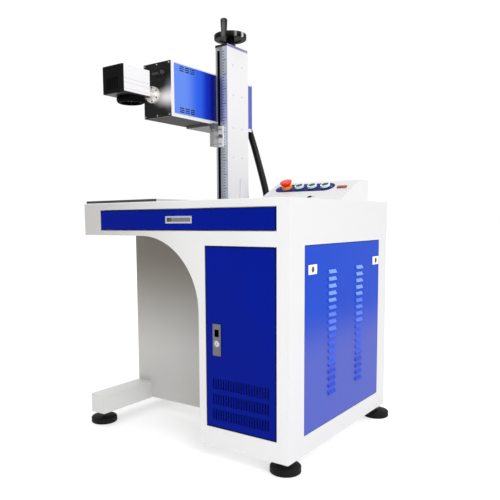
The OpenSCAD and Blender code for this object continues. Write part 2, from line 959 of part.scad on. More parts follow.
module laser_front_plate() {
    color("black") {
        difference() {
            block(box_left, box_front, box_z, box_w, plate_thin, box_h);
            bar(beam_left, box_front - over, beam_z, beam_hole_d / 2, plate_thin + 2 * over);
        }
        bar(box_left + cap_knob_left, box_front - cap_knob_l, box_z + cap_knob_up, cap_knob_d / 2,
            cap_knob_l);
        block(box_left + bar_left - bar_w / 2, box_front - bar_l, box_z + bar_up, bar_w, bar_l,
            bar_h);
    }
}

module laser_rear_plate() {
    color("black") difference() {
        block(box_left, box_front + box_l - plate_thin, box_z, box_w, plate_thin, box_h);
        for (i = [0 : 2 * vent_rows - 1])
            block(box_left + box_w / 2 - vent_slot_l, box_front + box_l - plate_thin - over,
                box_z + box_h - side_edge - (i + 1) * vent_slot_pitch, 2 * vent_slot_l,
                plate_thin + 2 * over, vent_slot_h);
    }
}

// The blue panel on each side of the laser box, with a group of slots near each corner
module laser_side_panels() {
    color("royalblue") for (x = [box_left - side_t, box_right]) difference() {
        block(x, box_front + skin_front, box_z + side_edge, side_t, skin_l, skin_h);
        for (y = group_fronts, z = group_lows, i = [0 : vent_cols - 1], j = [0 : vent_rows - 1])
            block(x - over, box_front + skin_front + y + i * vent_col_pitch,
                box_z + side_edge + z + j * vent_slot_pitch, side_t + 2 * over, vent_slot_l,
                vent_slot_h);
    }
}

module beam_tube() {
    flange_t = 10;
    tube_back = box_front - tube_l;
    color("silver") difference() {
        union() {
            bar(beam_left, tube_back, beam_z, tube_d / 2, tube_l);
            bar(beam_left, box_front - flange_t, beam_z, flange_d / 2, flange_t);
        }
        bar(beam_left, tube_back - over, beam_z, beam_hole_d / 2, tube_l + 2 * over);
    }
}

module galvo_housing() {
    color("white") difference() {
        block(head_left, cover_back, head_z, head_w, head_l - cover_front_t, head_h);
        block(head_left + head_t, cover_back - over, head_z - over, head_w - 2 * head_t,
            head_l - cover_front_t - head_t + over, head_h - head_t + over);
        bar(beam_left, head_front + head_l - head_t - over, beam_z, beam_hole_d / 2,
            head_t + 2 * over);
    }
}

module galvo_front_cover() {
    rib_pitch = window_w / rib_count;
    color("black") difference() {
        block(head_left, head_front, head_z - base_t, head_w, cover_front_t, head_h + base_t);
        for (i = [0 : rib_count - 1])
            block(head_left + (head_w - window_w) / 2 + i * rib_pitch, head_front - over,
                head_z + window_low, rib_pitch - rib_w / 2, rib_deep + over, window_h);
    }
}

module galvo_base_plate() {
    color("dimgray") difference() {
        block(head_left, cover_back, head_z - base_t, head_w, head_l - cover_front_t, base_t);
        post(lens_left, lens_back, head_z - base_t - over, glass_d / 2 - barrel_t, base_t + 2 * over);
    }
}

module lens_barrel() {
    r = lens_d / 2;
    edge = 3;
    color("black") translate([at_x(lens_left), at_y(lens_back), lens_z]) rotate_extrude()
        polygon([
            [glass_d / 2 - barrel_t, 0], [r - 2 * edge, 0], [r - edge, edge / 2], [r, 2 * edge],
            [r, lens_h - edge], [r - edge, lens_h], [glass_d / 2 - barrel_t, lens_h],
            [glass_d / 2 - barrel_t, glass_up + glass_t], [glass_d / 2, glass_up + glass_t],
            [glass_d / 2, glass_up], [glass_d / 2 - barrel_t, glass_up]
        ]);
}

module lens_glass() {
    color("lightblue") post(lens_left, lens_back, lens_z + glass_up, glass_d / 2, glass_t);
}

module galvo_motors() {
    color("gray") {
        post(beam_left, lens_back, beam_z + motor_gap, motor_d / 2,
            head_z + head_h - head_t - beam_z - motor_gap);
        bar(lens_left, cover_back, beam_z, motor_d / 2, lens_back - motor_gap - cover_back);
    }
}

module isolator() {
    color("silver") {
        bar(beam_left, box_front + plate_thin, beam_z, isolator_d / 2, isolator_l);
        for (y = [side_edge, isolator_l - cradle_l - side_edge])
            block(beam_left - cradle_w / 2, box_front + plate_thin + y, box_z + box_t, cradle_w,
                cradle_l, beam_up - box_t);
    }
}

module box_gland() {
    color("black") {
        bar(hose_exit_left, box_front + box_l, box_z + elbow_up, elbow_d / 2,
            elbow_out);
        post(hose_exit_left, hose_exit_back, box_z + elbow_up - elbow_drop, pipe_r,
            elbow_drop + elbow_d / 2);
    }
}

// Unit vector from one point to another
function unit(v) = v / norm(v);
// Direction of the hose at point i
function hose_dir(i) = let (n = len(hose_points) - 1)
    i == 0 || i == n ? [0, 0, -1] : unit(hose_points[i + 1] - hose_points[i - 1]);
// Points of the ring round point i
function hose_ring(i) = let (d = hose_dir(i), u = unit(cross(d, [0, 1, 0])), v = cross(d, u))
    [for (k = [0 : hose_sides - 1]) let (a = 360 * k / hose_sides)
        [at_x(0), at_y(table_d), table_h] + hose_points[i]
            + (hose_d / 2) * (cos(a) * u + sin(a) * v)];

module hose() {
    n = len(hose_points);
    rings = [for (i = [0 : n - 1]) each hose_ring(i)];
    sides = [for (i = [0 : n - 2], k = [0 : hose_sides - 1])
        let (a = i * hose_sides + k, b = i * hose_sides + (k + 1) % hose_sides)
            each [[a, a + hose_sides, b + hose_sides], [a, b + hose_sides, b]]];
    first = [for (k = [1 : hose_sides - 2]) [0, k, k + 1]];
    last_at = (n - 1) * hose_sides;
    last = [for (k = [1 : hose_sides - 2]) [last_at, last_at + k + 1, last_at + k]];
    color("black") polyhedron(points = rings, faces = concat(sides, first, last));
}

module drawer_front() {
    hole_w = pull_w - cup_margin;
    hole_h = pull_h - cup_margin;
    pull_left = drawer_left + (drawer_w - pull_w) / 2;
    pull_z = drawer_z + (drawer_h - pull_h) / 2;
    color("navy") difference() {
        block(drawer_left, 0, drawer_z, drawer_w, panel_depth, drawer_h);
        block(drawer_left + sheet_t, sheet_t, drawer_z + sheet_t, drawer_w - 2 * sheet_t,
            panel_depth, drawer_h - 2 * sheet_t);
        block(pull_left + cup_margin / 2, -over, pull_z + cup_margin / 2, hole_w, sheet_t + 2 * over,
            hole_h);
    }
}

module drawer_tray() {
    tray_back = panel_depth;
    color("silver") {
        difference() {
            block(tray_left, sheet_t, tray_z, tray_w, tray_back - sheet_t + tray_d, tray_h);
            block(tray_left + tray_t, tray_back + tray_t, tray_z + tray_t, tray_w - 2 * tray_t,
                tray_d - 2 * tray_t, tray_h);
            block(tray_left + tray_t, sheet_t - over, tray_z + tray_t, tray_w - 2 * tray_t,
                tray_back - sheet_t + over, tray_h);
        }
        for (x = [tray_left - runner_w / 2, tray_left + tray_w])
            block(x, tray_back + sheet_t, rail_z + rail_t, runner_w / 2, tray_d - sheet_t,
                rail_h - 2 * rail_t);
    }
}

module drawer_pull() {
    pull_left = drawer_left + (drawer_w - pull_w) / 2;
    pull_z = drawer_z + (drawer_h - pull_h) / 2;
    inset = cup_margin / 2 + near;
    color("silver") difference() {
        union() {
            block(pull_left, -pull_proud, pull_z, pull_w, pull_proud, pull_h);
            block(pull_left + inset, 0, pull_z + inset, pull_w - 2 * inset, cup_depth,
                pull_h - 2 * inset);
        }
        block(pull_left + inset + cup_t, -pull_proud - over, pull_z + inset + cup_t,
            pull_w - 2 * inset - 2 * cup_t, cup_depth + pull_proud + over - cup_t,
            pull_h - 2 * inset - 2 * cup_t);
    }
}

module door_panel() {
    color("navy") difference() {
        block(door_left, 0, door_z, door_w, panel_depth, door_h);
        block(door_left + sheet_t, sheet_t, door_z + sheet_t, door_w - 2 * sheet_t, panel_depth,
            door_h - 2 * sheet_t);
        post(hinge_left, pin_in, door_z - over, pin_d / 2 + fit, door_h + 2 * over);
        for (r = [0 : 2], i = [0 : vent_count - 1])
            block(door_left + (door_w - (vent_count - 1) * vent_pitch - vent_w) / 2 + i * vent_pitch,
                -over, door_z + vent_low + r * vent_row, vent_w, sheet_t + 2 * over, vent_h);
        block(lock_left + (lock_w - finger_w) / 2 - over, -over, lock_z + finger_up - over,
            finger_w + 2 * over, sheet_t + 2 * over, finger_h + 2 * over);
        bar(plug_left, -over, lock_z + plug_up, plug_d / 2 + near, sheet_t + 2 * over);
    }
}

module door_lock_plate() {
    cup_left = lock_left + (lock_w - finger_w) / 2;
    color("silver") difference() {
        union() {
            translate([at_x(lock_left), at_y(0), lock_z]) rotate([90, 0, 0])
                linear_extrude(lock_t) rounded(lock_w, lock_h, lock_t);
            block(cup_left, 0, lock_z + finger_up, finger_w, cup_depth, finger_h);
        }
        block(cup_left + cup_t, -lock_t - over, lock_z + finger_up + cup_t, finger_w - 2 * cup_t,
            cup_depth + lock_t + over - cup_t, finger_h - 2 * cup_t);
        bar(plug_left, -lock_t - over, lock_z + plug_up, plug_d / 2 + fit, 2 * lock_t + over);
    }
}

// The key plug with its cam, which hangs down while the door is unlocked
module door_lock_barrel() {
    plug_z = lock_z + plug_up;
    plug_l = panel_depth + lock_t + sheet_t;
    key_w = 1.5;
    color("silver") {
        difference() {
            bar(plug_left, -lock_t, plug_z, plug_d / 2, plug_l);
            block(plug_left - key_w / 2, -lock_t - over, plug_z - plug_d / 4, key_w, lock_t + over,
                plug_d / 2);
        }
        block(plug_left - cam_w / 2, panel_depth + sheet_t, plug_z - cam_reach + cam_w / 2, cam_w,
            cam_t, cam_reach);
    }
}

module side_panel() {
    panel_x = table_w - panel_depth;
    color("royalblue") difference() {
        union() {
            block(panel_x, side_front, side_z, panel_depth, side_w, side_h);
            for (y = [side_front + latch_front_in, side_front + side_w - latch_rear_in])
                block(table_w, y - latch_w / 2, side_z + side_h - latch_high - latch_h / 2, latch_t,
                    latch_w, latch_h);
            for (c = [-1, 1], i = [0 : louvre_count - 1])
                translate([at_x(table_w), at_y(side_front + side_w / 2 + c * louvre_gap / 2
                    + louvre_w / 2), side_z + louvre_low + i * louvre_pitch]) rotate([90, 0, 0])
                    linear_extrude(louvre_w) polygon([[0, 0], [louvre_out, 0], [0, louvre_h]]);
        }
        block(panel_x - over, side_front + sheet_t, side_z + sheet_t, panel_depth - sheet_t + over,
            side_w - 2 * sheet_t, side_h - 2 * sheet_t);
        for (c = [-1, 1], i = [0 : louvre_count - 1]) {
            block(table_w - sheet_t - over, side_front + side_w / 2 + c * louvre_gap / 2
                - louvre_w / 2 + over, side_z + louvre_low + i * louvre_pitch + over,
                sheet_t + 2 * over, louvre_w - 2 * over, louvre_h / 3);
            block(table_w, side_front + side_w / 2 + c * louvre_gap / 2 - louvre_w / 2 + over,
                side_z + louvre_low + i * louvre_pitch - over, louvre_out - 2 * over,
                louvre_w - 2 * over, louvre_h / 3 + over);
        }
        for (y = [side_front + latch_front_in, side_front + side_w - latch_rear_in])
            translate([at_x(table_w - sheet_t - over), at_y(y), side_z + side_h - latch_high])
                rotate([0, 90, 0]) cylinder(r = latch_plug_d / 2 + fit, h = sheet_t + latch_t + 2 * over);
    }
    color("royalblue") for (y = [side_front + tab_in, side_front + side_w - tab_in - tab_w])
        block(table_w - 2 * sheet_t - near, y, side_z - tab_drop, sheet_t, tab_w, tab_drop + sheet_t);
}

// A quarter-turn latch: its tongue hangs down while the panel is free
module side_latch(from_front, reach) {
    plug_l = panel_depth + latch_t + sheet_t;
    z = side_z + side_h - latch_high;
    color("black") {
        difference() {
            translate([at_x(table_w + latch_t - plug_l), at_y(from_front), z]) rotate([0, 90, 0])
                cylinder(r = latch_plug_d / 2, h = plug_l);
            block(table_w, from_front - sheet_t / 2, z - latch_plug_d / 4, latch_t + over, sheet_t,
                latch_plug_d / 2);
        }
        block(table_w + latch_t - plug_l - tongue_t, from_front - tongue_w / 2,
            z - reach + tongue_w / 2, tongue_t, tongue_w, reach);
    }
}

module side_latch_front() {
    side_latch(side_front + latch_front_in, latch_front_in + tongue_w);
}

module side_latch_rear() {
    side_latch(side_front + side_w - latch_rear_in, latch_rear_in + tongue_w);
}

module handwheel() {
    rim_in = wheel_d / 2 - rim_w;
    spin = [grip_off * cos(grip_turn), grip_off * sin(grip_turn), 0];
    color("black") translate([at_x(screw_left), at_y(screw_back), 0]) difference() {
        union() {
            translate([0, 0, wheel_z]) rotate_extrude($fn = 72) translate([rim_in, 0])
                rounded(rim_w, wheel_t, rim_r);
            translate([0, 0, wheel_z + web_up]) cylinder(r = rim_in + rim_r, h = web_t);
            translate([0, 0, hub_z]) cylinder(r = hub_d / 2, h = wheel_top - rim_r - hub_z);
            translate(spin + [0, 0, wheel_z + web_up])
                cylinder(r = spindle_d / 2, h = wheel_t - web_up + grip_l - sheet_t);
        }
        translate([0, 0, hub_z - over]) cylinder(r = screw_d / 2 + fit, h = wheel_t + over);
    }
}

module wheel_grip() {
    low = grip_low_d / 2;
    high = grip_d / 2;
    bore = spindle_d / 2 + fit;
    edge = 3;
    lift = near;
    color("black") translate([at_x(screw_left) + grip_off * cos(grip_turn),
        at_y(screw_back) + grip_off * sin(grip_turn), wheel_top + lift]) rotate_extrude()
        polygon([
            [bore, 0], [low - edge / 2, 0], [low, edge / 2], [high, grip_l - 2 * edge],
            [high - edge / 3, grip_l - edge / 2], [high - edge, grip_l], [0, grip_l],
            [0, grip_l - sheet_t], [bore, grip_l - sheet_t]
        ]);
}

module lead_screw() {
    low_z = column_z + sheet_t + near;
    high_z = hub_z + wheel_t - near;
    color("silver") post(screw_left, screw_back, low_z, screw_d / 2, high_z - low_z);
}

module clamp_knob() {
    knob_left = slide_left + slide_w - knob_d / 2;
    plate_front_y = column_front - slide_gap - slide_t;
    z = block_z + block_h / 2;
    color("black") {
        bar(knob_left, plate_front_y - knob_l - near, z, knob_d / 2, knob_l);
        bar(knob_left, plate_front_y - near, z, knob_shaft_d / 2, slide_t + near);
    }
}

// The head's outline as shares of its diameter
stop_profile_shares = [
    [0, 0], [0.36, 0], [0.47, 0.14], [0.5, 0.2], [0.46, 0.28], [0.3, 0.32], [0, 0.33]
];

module estop_button() {
    low = badge_t + ring_floor + stop_travel + near;
    neck = badge_t + stop_ring_up + stop_travel + near;
    color("red") on_slope(control_first, badge_s) {
        translate([0, 0, low]) cylinder(r = control_d / 2, h = neck - low);
        translate([0, 0, neck]) rotate_extrude()
            polygon([for (s = stop_profile_shares) [s[0] * estop_d, s[1] * estop_d]]);
    }
}

module green_button(i) {
    low = badge_t + ring_floor + button_travel + near;
    high = badge_t + ring_up + over / 2;
    color("darkgreen") on_slope(control_first + i * control_pitch, badge_s)
        translate([0, 0, low]) cylinder(r = control_d / 2, h = high - low);
}

module green_button_1() {
    green_button(1);
}

module green_button_2() {
    green_button(2);
}

module green_button_3() {
    green_button(3);
}

// The first mirror turns about an upright shaft, and the second about a shaft that runs back
module scan_mirror_x() {
    color("lightcyan") translate([at_x(beam_left), at_y(lens_back), beam_z]) {
        rotate([0, 0, -45]) translate([-mirror_w / 2, -mirror_t / 2, -mirror_w / 2])
            cube([mirror_w, mirror_t, mirror_w]);
        translate([0, 0, mirror_w / 2 - holder_grip])
            cylinder(r = holder_d / 2, h = motor_gap - near - mirror_w / 2 + holder_grip);
    }
}

module scan_mirror_y() {
    color("lightcyan") translate([at_x(lens_left), at_y(lens_back), beam_z]) {
        rotate([0, 45, 0]) translate([-mirror_w / 2, -mirror_w / 2, -mirror_t / 2])
            cube([mirror_w, mirror_w, mirror_t]);
        translate([0, near - motor_gap, 0]) rotate([-90, 0, 0])
            cylinder(r = holder_d / 2, h = motor_gap - near - mirror_w / 2 + holder_grip);
    }
}

front_fascia();
table_top();
pedestal_shell();
pedestal_side_frame();
leg_panel();
foot_beam();
foot_pads();
foot_studs();
work_plate();
console_housing();
console_badge();
switch_bodies();
console_inserts();
column_foot();
column_body();
column_side_cover();
ruler_strip();
column_cap();
guide_rods();
drawer_runners();
laser_source();
control_computer();
door_hinges();
table_gland();
slide_block();
slide_plate();
shelf_bracket();
laser_case();
laser_front_plate();
laser_rear_plate();
laser_side_panels();
beam_tube();
galvo_housing();
galvo_front_cover();
galvo_base_plate();
lens_barrel();
lens_glass();
galvo_motors();
isolator();
box_gland();
hose();
drawer_front();
drawer_tray();
drawer_pull();
door_panel();
door_lock_plate();
door_lock_barrel();
side_panel();
side_latch_front();
side_latch_rear();
handwheel();
wheel_grip();
lead_screw();
clamp_knob();
estop_button();
green_button_1();
green_button_2();
green_button_3();
scan_mirror_x();
scan_mirror_y();
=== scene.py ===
import math

import bmesh
import bpy
from mathutils import Matrix, Vector


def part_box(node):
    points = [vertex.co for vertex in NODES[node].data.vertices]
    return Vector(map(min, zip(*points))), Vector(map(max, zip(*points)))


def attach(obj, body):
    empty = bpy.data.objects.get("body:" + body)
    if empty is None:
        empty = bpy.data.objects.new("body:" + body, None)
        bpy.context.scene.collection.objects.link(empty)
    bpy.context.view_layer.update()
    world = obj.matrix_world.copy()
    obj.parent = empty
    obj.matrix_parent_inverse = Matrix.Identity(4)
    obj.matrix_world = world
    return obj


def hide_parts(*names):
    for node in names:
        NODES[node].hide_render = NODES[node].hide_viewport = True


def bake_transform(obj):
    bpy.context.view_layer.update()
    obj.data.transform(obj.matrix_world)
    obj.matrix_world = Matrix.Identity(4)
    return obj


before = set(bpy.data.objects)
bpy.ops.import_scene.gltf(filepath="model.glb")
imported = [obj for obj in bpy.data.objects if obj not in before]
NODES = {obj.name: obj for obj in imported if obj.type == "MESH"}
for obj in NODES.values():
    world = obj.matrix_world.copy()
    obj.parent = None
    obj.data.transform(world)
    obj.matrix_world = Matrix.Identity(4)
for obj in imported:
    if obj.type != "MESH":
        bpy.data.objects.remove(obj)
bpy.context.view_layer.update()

# Places are given as in the CAD source: from the desk's left side, from its front face and
# from the floor. Lengths are in millimetres unless a comment says otherwise.
MM = 0.001
LEFT_X = -385.0
FRONT_Y = -337.5
DESK_TOP = 738.0
DESK_DEPTH = 656.0
DESK_WIDTH = 770.0
X, Y, Z = range(3)


def at(from_left, from_front, z):
    return Vector((LEFT_X + from_left, FRONT_Y + from_front, z)) * MM


def mm(x, y, z):
    return Vector((x, y, z)) * MM


def centre_of(node):
    low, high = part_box(node)
    return (low + high) / 2


# Camera, as solved from the photograph; the shifts are shares of the frame's width

CAMERA_PLACE = (1527.86, -1284.47, 678.1)
CAMERA_RIGHT = (0.80863097, 0.58826009, -0.00812472)
CAMERA_UP = (-0.05128695, 0.0842439, 0.99512442)
CAMERA_BACK = (0.58607644, -0.80427174, 0.0982923)
CAMERA_LENS = 42.37
CAMERA_SENSOR = 36.0
CAMERA_SHIFT = (0.03706, 0.05854)
CAMERA_REACH = 200.0  # metres


def add_camera():
    data = bpy.data.cameras.new("camera")
    data.lens = CAMERA_LENS
    data.sensor_width = CAMERA_SENSOR
    data.shift_x, data.shift_y = CAMERA_SHIFT
    data.clip_end = CAMERA_REACH
    cam = bpy.data.objects.new("camera", data)
    turn = Matrix((CAMERA_RIGHT, CAMERA_UP, CAMERA_BACK)).transposed().to_4x4()
    turn.translation = at(*CAMERA_PLACE)
    cam.matrix_world = turn
    bpy.context.collection.objects.link(cam)
    bpy.context.scene.camera = cam


# Light: a sun from above, a soft lamp at the right and a white room; places are in metres

SUN_POWER = 1.2
SUN_SPREAD = 60  # degrees
SUN_TILT = (8, 12, 0)  # degrees
LAMP_PLACE = (2.6, -1.9, 1.9)
LAMP_TARGET = (0.2, 0, 0.6)
LAMP_SIDE = 1.6
LAMP_POWER = 40
ROOM_REAR = (0.35, 0.94, 0.0)  # the way from the room's dim front to its bright rear
ROOM_DIM, ROOM_BRIGHT = 0.35, 1.02
ROOM_DIM_AT, ROOM_BRIGHT_FROM = -1, 0.1  # how far that way, from -1 to 1


def add_world():
    """A white room that is darker on the side that the desk's front looks at."""
    world = bpy.data.worlds.new("studio")
    bpy.context.scene.world = world
    world.use_nodes = True
    tree = world.node_tree
    tree.nodes.clear()
    out = tree.nodes.new("ShaderNodeOutputWorld")
    back = tree.nodes.new("ShaderNodeBackground")
    back.inputs["Color"].default_value = (1, 1, 1, 1)
    coord = tree.nodes.new("ShaderNodeTexCoord")
    dot = tree.nodes.new("ShaderNodeVectorMath")
    dot.operation = "DOT_PRODUCT"
    dot.inputs[1].default_value = Vector(ROOM_REAR).normalized()
    tree.links.new(coord.outputs["Generated"], dot.inputs[0])
    power = map_range(tree, dot.outputs["Value"], (ROOM_DIM_AT, ROOM_BRIGHT_FROM),
                      (ROOM_DIM, ROOM_BRIGHT), "SMOOTHSTEP")
    tree.links.new(power, back.inputs["Strength"])
    tree.links.new(back.outputs["Background"], out.inputs["Surface"])


def add_light():
    bpy.context.scene.view_settings.view_transform = "Standard"
    add_world()
    sun = bpy.data.lights.new("top_light", "SUN")
    sun.energy = SUN_POWER
    sun.angle = math.radians(SUN_SPREAD)
    top = bpy.data.objects.new("top_light", sun)
    top.rotation_euler = [math.radians(tilt) for tilt in SUN_TILT]
    bpy.context.collection.objects.link(top)
    data = bpy.data.lights.new("key_light", "AREA")
    data.shape = "RECTANGLE"
    data.size = data.size_y = LAMP_SIDE
    data.energy = LAMP_POWER
    lamp = bpy.data.objects.new("key_light", data)
    lamp.location = LAMP_PLACE
    aim = Vector(LAMP_TARGET) - Vector(LAMP_PLACE)
    lamp.rotation_euler = aim.to_track_quat("-Z", "Y").to_euler()
    bpy.context.collection.objects.link(lamp)


FLOOR_REACH = 40  # metres
FLOOR_GLOW = 0.42


def add_floor():
    """A sheet of white paper that shines a little, so that it burns out as in the photograph."""
    mesh = bpy.data.meshes.new("floor")
    corners = [(x * FLOOR_REACH, y * FLOOR_REACH, 0)
               for x, y in ((-1, -1), (1, -1), (1, 1), (-1, 1))]
    mesh.from_pydata(corners, [], [(0, 1, 2, 3)])
    floor = bpy.data.objects.new("floor", mesh)
    bpy.context.collection.objects.link(floor)
    paper = enamel("floor_paper", grey(0.82), grey(0.80), rough=0.8)
    shader = paper.node_tree.nodes["Principled BSDF"]
    shader.inputs["Emission Color"].default_value = (1, 1, 1, 1)
    shader.inputs["Emission Strength"].default_value = FLOOR_GLOW
    mesh.materials.append(paper)


# Shader nodes

def map_range(tree, value, source, target=(0, 1), kind="LINEAR"):
    """A value taken from one range to another, and held at its ends."""
    node = tree.nodes.new("ShaderNodeMapRange")
    node.interpolation_type = kind
    for socket, limit in zip(("From Min", "From Max", "To Min", "To Max"), (*source, *target)):
        node.inputs[socket].default_value = limit
    tree.links.new(value, node.inputs["Value"])
    return node.outputs["Result"]


def object_place(tree):
    return tree.nodes.new("ShaderNodeTexCoord").outputs["Object"]


def mapped_place(tree, scale, shift=(0, 0, 0)):
    """Object coordinates, scaled and then shifted."""
    node = tree.nodes.new("ShaderNodeMapping")
    node.inputs["Scale"].default_value = scale
    node.inputs["Location"].default_value = shift
    tree.links.new(object_place(tree), node.inputs["Vector"])
    return node.outputs["Vector"]


def split_place(tree):
    """Object coordinates as three numbers."""
    node = tree.nodes.new("ShaderNodeSeparateXYZ")
    tree.links.new(object_place(tree), node.inputs["Vector"])
    return node.outputs


def noise(tree, place, scale, detail):
    node = tree.nodes.new("ShaderNodeTexNoise")
    node.inputs["Scale"].default_value = scale
    node.inputs["Detail"].default_value = detail
    tree.links.new(place, node.inputs["Vector"])
    return node.outputs["Fac"]


def compare(tree, value, way, limit):
    node = tree.nodes.new("ShaderNodeMath")
    node.operation = way
    node.inputs[1].default_value = limit
    tree.links.new(value, node.inputs[0])
    return node.outputs[0]


def both_true(tree, first, second):
    node = tree.nodes.new("ShaderNodeMath")
    node.operation = "MULTIPLY"
    tree.links.new(first, node.inputs[0])
    tree.links.new(second, node.inputs[1])
    return node.outputs[0]


def colour_mix(tree, tone, factor):
    """A mix of a colour that is still to be set with a tone, by a factor from 0 to 1."""
    node = tree.nodes.new("ShaderNodeMix")
    node.data_type = "RGBA"
    node.inputs["B"].default_value = (*lin(tone), 1)
    tree.links.new(factor, node.inputs["Factor"])
    return node


# Materials: tones are display values from 0 to 1

IOR = 1.5
DRIFT_SCALE, DRIFT_DETAIL = 3.0, 4.0
DRIFT_RANGE = (0.3, 0.7)
GRAIN_DETAIL = 2.0
GRAIN_RELIEF = 0.0005  # metres


def grey(value):
    return (value, value, value)


def lin(tone):
    return tuple(v / 12.92 if v <= 0.04045 else ((v + 0.055) / 1.055) ** 2.4 for v in tone)


def enamel(name, tone_a, tone_b, rough=0.35, metal=0.0, bump=0.02, grain=900.0,
           stretch=(1, 1, 1), rough_span=0.06, transmission=0.0, specular=0.5):
    """Paint, metal, plastic or rubber: two tones that drift into each other, a fine grain in the
    surface, and a roughness that varies with the grain."""
    material = bpy.data.materials.new(name)
    material.use_nodes = True
    tree = material.node_tree
    shader = tree.nodes["Principled BSDF"]
    for socket, value in (("Metallic", metal), ("IOR", IOR), ("Specular IOR Level", specular),
                          ("Transmission Weight", transmission)):
        shader.inputs[socket].default_value = value
    place = mapped_place(tree, stretch)
    drift = noise(tree, place, DRIFT_SCALE, DRIFT_DETAIL)
    mix = colour_mix(tree, tone_b, map_range(tree, drift, DRIFT_RANGE))
    mix.inputs["A"].default_value = (*lin(tone_a), 1)
    tree.links.new(mix.outputs["Result"], shader.inputs["Base Color"])
    fine = noise(tree, place, grain, GRAIN_DETAIL)
    gloss = map_range(tree, fine, (0, 1), (rough - rough_span, rough + rough_span))
    tree.links.new(gloss, shader.inputs["Roughness"])
    relief = tree.nodes.new("ShaderNodeBump")
    relief.inputs["Strength"].default_value = bump
    relief.inputs["Distance"].default_value = GRAIN_RELIEF
    tree.links.new(fine, relief.inputs["Height"])
    tree.links.new(relief.outputs["Normal"], shader.inputs["Normal"])
    return material


def mix_over(material, tone, factor):
    """Mixes another tone over a material's colour, by a factor from 0 to 1."""
    tree = material.node_tree
    base = tree.nodes["Principled BSDF"].inputs["Base Color"]
    mix = colour_mix(tree, tone, factor)
    tree.links.new(base.links[0].from_socket, mix.inputs["A"])
    tree.links.new(mix.outputs["Result"], base)


def zone(material, tone, low, high):
    """Another tone inside a box between two corners, for paint, print, painted light and painted
    shade.
    """
    tree = material.node_tree
    place = split_place(tree)
    inside = None
    for value, limits in zip(place, zip(low, high)):
        for limit, way in zip(limits, ("GREATER_THAN", "LESS_THAN")):
            test = compare(tree, value, way, limit)
            inside = both_true(tree, inside, test) if inside else test
    mix_over(material, tone, inside)


def face(material, node, tone, axis, far=True, deep=0.3):
    """Another tone on a node's outermost face along an axis: the right, rear or top one where
    far is true, or else the left, front or bottom one."""
    low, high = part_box(node)
    low, high = low - mm(1, 1, 1), high + mm(1, 1, 1)
    if far:
        low[axis] = high[axis] - (1 + deep) * MM
    else:
        high[axis] = low[axis] + (1 + deep) * MM
    zone(material, tone, low, high)


def fade(material, tone, axis, start, end, origin):
    """Another tone that comes in along one axis, from none at start to all of it at end."""
    tree = material.node_tree
    limits = [origin[axis] + place * MM for place in (start, end)]
    share = map_range(tree, split_place(tree)[axis], limits, kind="SMOOTHSTEP")
    mix_over(material, tone, share)


def glow(material, tone, centre, reach, squeeze, strength):
    """Another tone round a point, a painted highlight that dies out at reach."""
    tree = material.node_tree
    shift = [-c * k for c, k in zip(centre, squeeze)]
    away = tree.nodes.new("ShaderNodeVectorMath")
    away.operation = "LENGTH"
    tree.links.new(mapped_place(tree, squeeze, shift), away.inputs[0])
    share = map_range(tree, away.outputs["Value"], (0, reach * MM), (strength, 0), "SMOOTHSTEP")
    mix_over(material, tone, share)


add_camera()
add_light()
add_floor()

# Paint, with darker and lighter copies as painted shade and light
# the white paint in a darker copy: painted shade on the desk's front face
SHADED_FRONT = enamel("front_shaded_paint", (0.87, 0.87, 0.865), (0.855, 0.853, 0.845), rough=0.38)
WHITE = enamel("white_paint", grey(0.93), grey(0.915), rough=0.36, specular=0.3)
CASE = enamel("case_paint", grey(0.93), grey(0.915), rough=0.6, specular=0.15)
HEAD = enamel("head_paint", grey(0.95), (0.94, 0.935, 0.94), rough=0.3, specular=0.3)
# the white paint in a darker copy: painted shade on the knee panel under the desk
KNEE_SHADED = enamel("knee_shaded_paint", (0.785, 0.78, 0.77), (0.755, 0.75, 0.735), rough=0.5, specular=0.3)
BEAM = enamel("beam_paint", (0.82, 0.82, 0.815), (0.80, 0.80, 0.79), rough=0.45)
BLUE = enamel("blue_paint", (0.0, 0.09, 0.545), (0.0, 0.08, 0.505), rough=0.34, specular=0.04)
# the door's blue in a lighter copy: painted light on the side panel
LIT_SIDE_BLUE = enamel("side_blue_lit_paint", (0.06, 0.25, 0.71), (0.05, 0.235, 0.69), rough=0.38,
                   specular=0.06)
BOX_BLUE = enamel("box_blue_paint", (0.36, 0.50, 0.85), (0.34, 0.48, 0.83), rough=0.34,
                  specular=0.08)
DARK = enamel("dark_coat", (0.14, 0.14, 0.15), (0.10, 0.10, 0.11), rough=0.42, bump=0.08,
              specular=0.3)
CAP = enamel("cap_coat", (0.12, 0.12, 0.13), (0.08, 0.08, 0.09), rough=0.42, bump=0.08,
             specular=0.3)
INK = enamel("black_ink", (0.08, 0.08, 0.09), (0.06, 0.06, 0.07), rough=0.5)

# Metal
STEEL = enamel("bright_steel", (0.82, 0.82, 0.83), (0.72, 0.72, 0.73), rough=0.25, metal=1.0,
               bump=0.05)
PLATE = enamel("plate_alloy", grey(0.88), grey(0.84), metal=0.9, bump=0.1, stretch=(0.03, 1, 1),
               grain=1200)
ALLOY = enamel("alloy", (0.86, 0.87, 0.89), (0.80, 0.81, 0.84), rough=0.34, metal=0.85,
               bump=0.06, stretch=(1, 1, 0.02), grain=1200)
COLUMN = enamel("column_alloy", (0.86, 0.87, 0.89), (0.80, 0.81, 0.84), rough=0.34, metal=0.85,
                bump=0.06, stretch=(1, 1, 0.02), grain=1200)
FOOT = enamel("foot_alloy", (0.86, 0.86, 0.885), (0.83, 0.83, 0.86), rough=0.4, metal=0.3,
              bump=0.06)
RULER = enamel("ruler_metal", (0.76, 0.79, 0.84), (0.72, 0.75, 0.80), rough=0.3, metal=0.4)
BRACKET = enamel("bracket_grey", (0.36, 0.35, 0.35), (0.31, 0.30, 0.30), rough=0.45, metal=0.4)
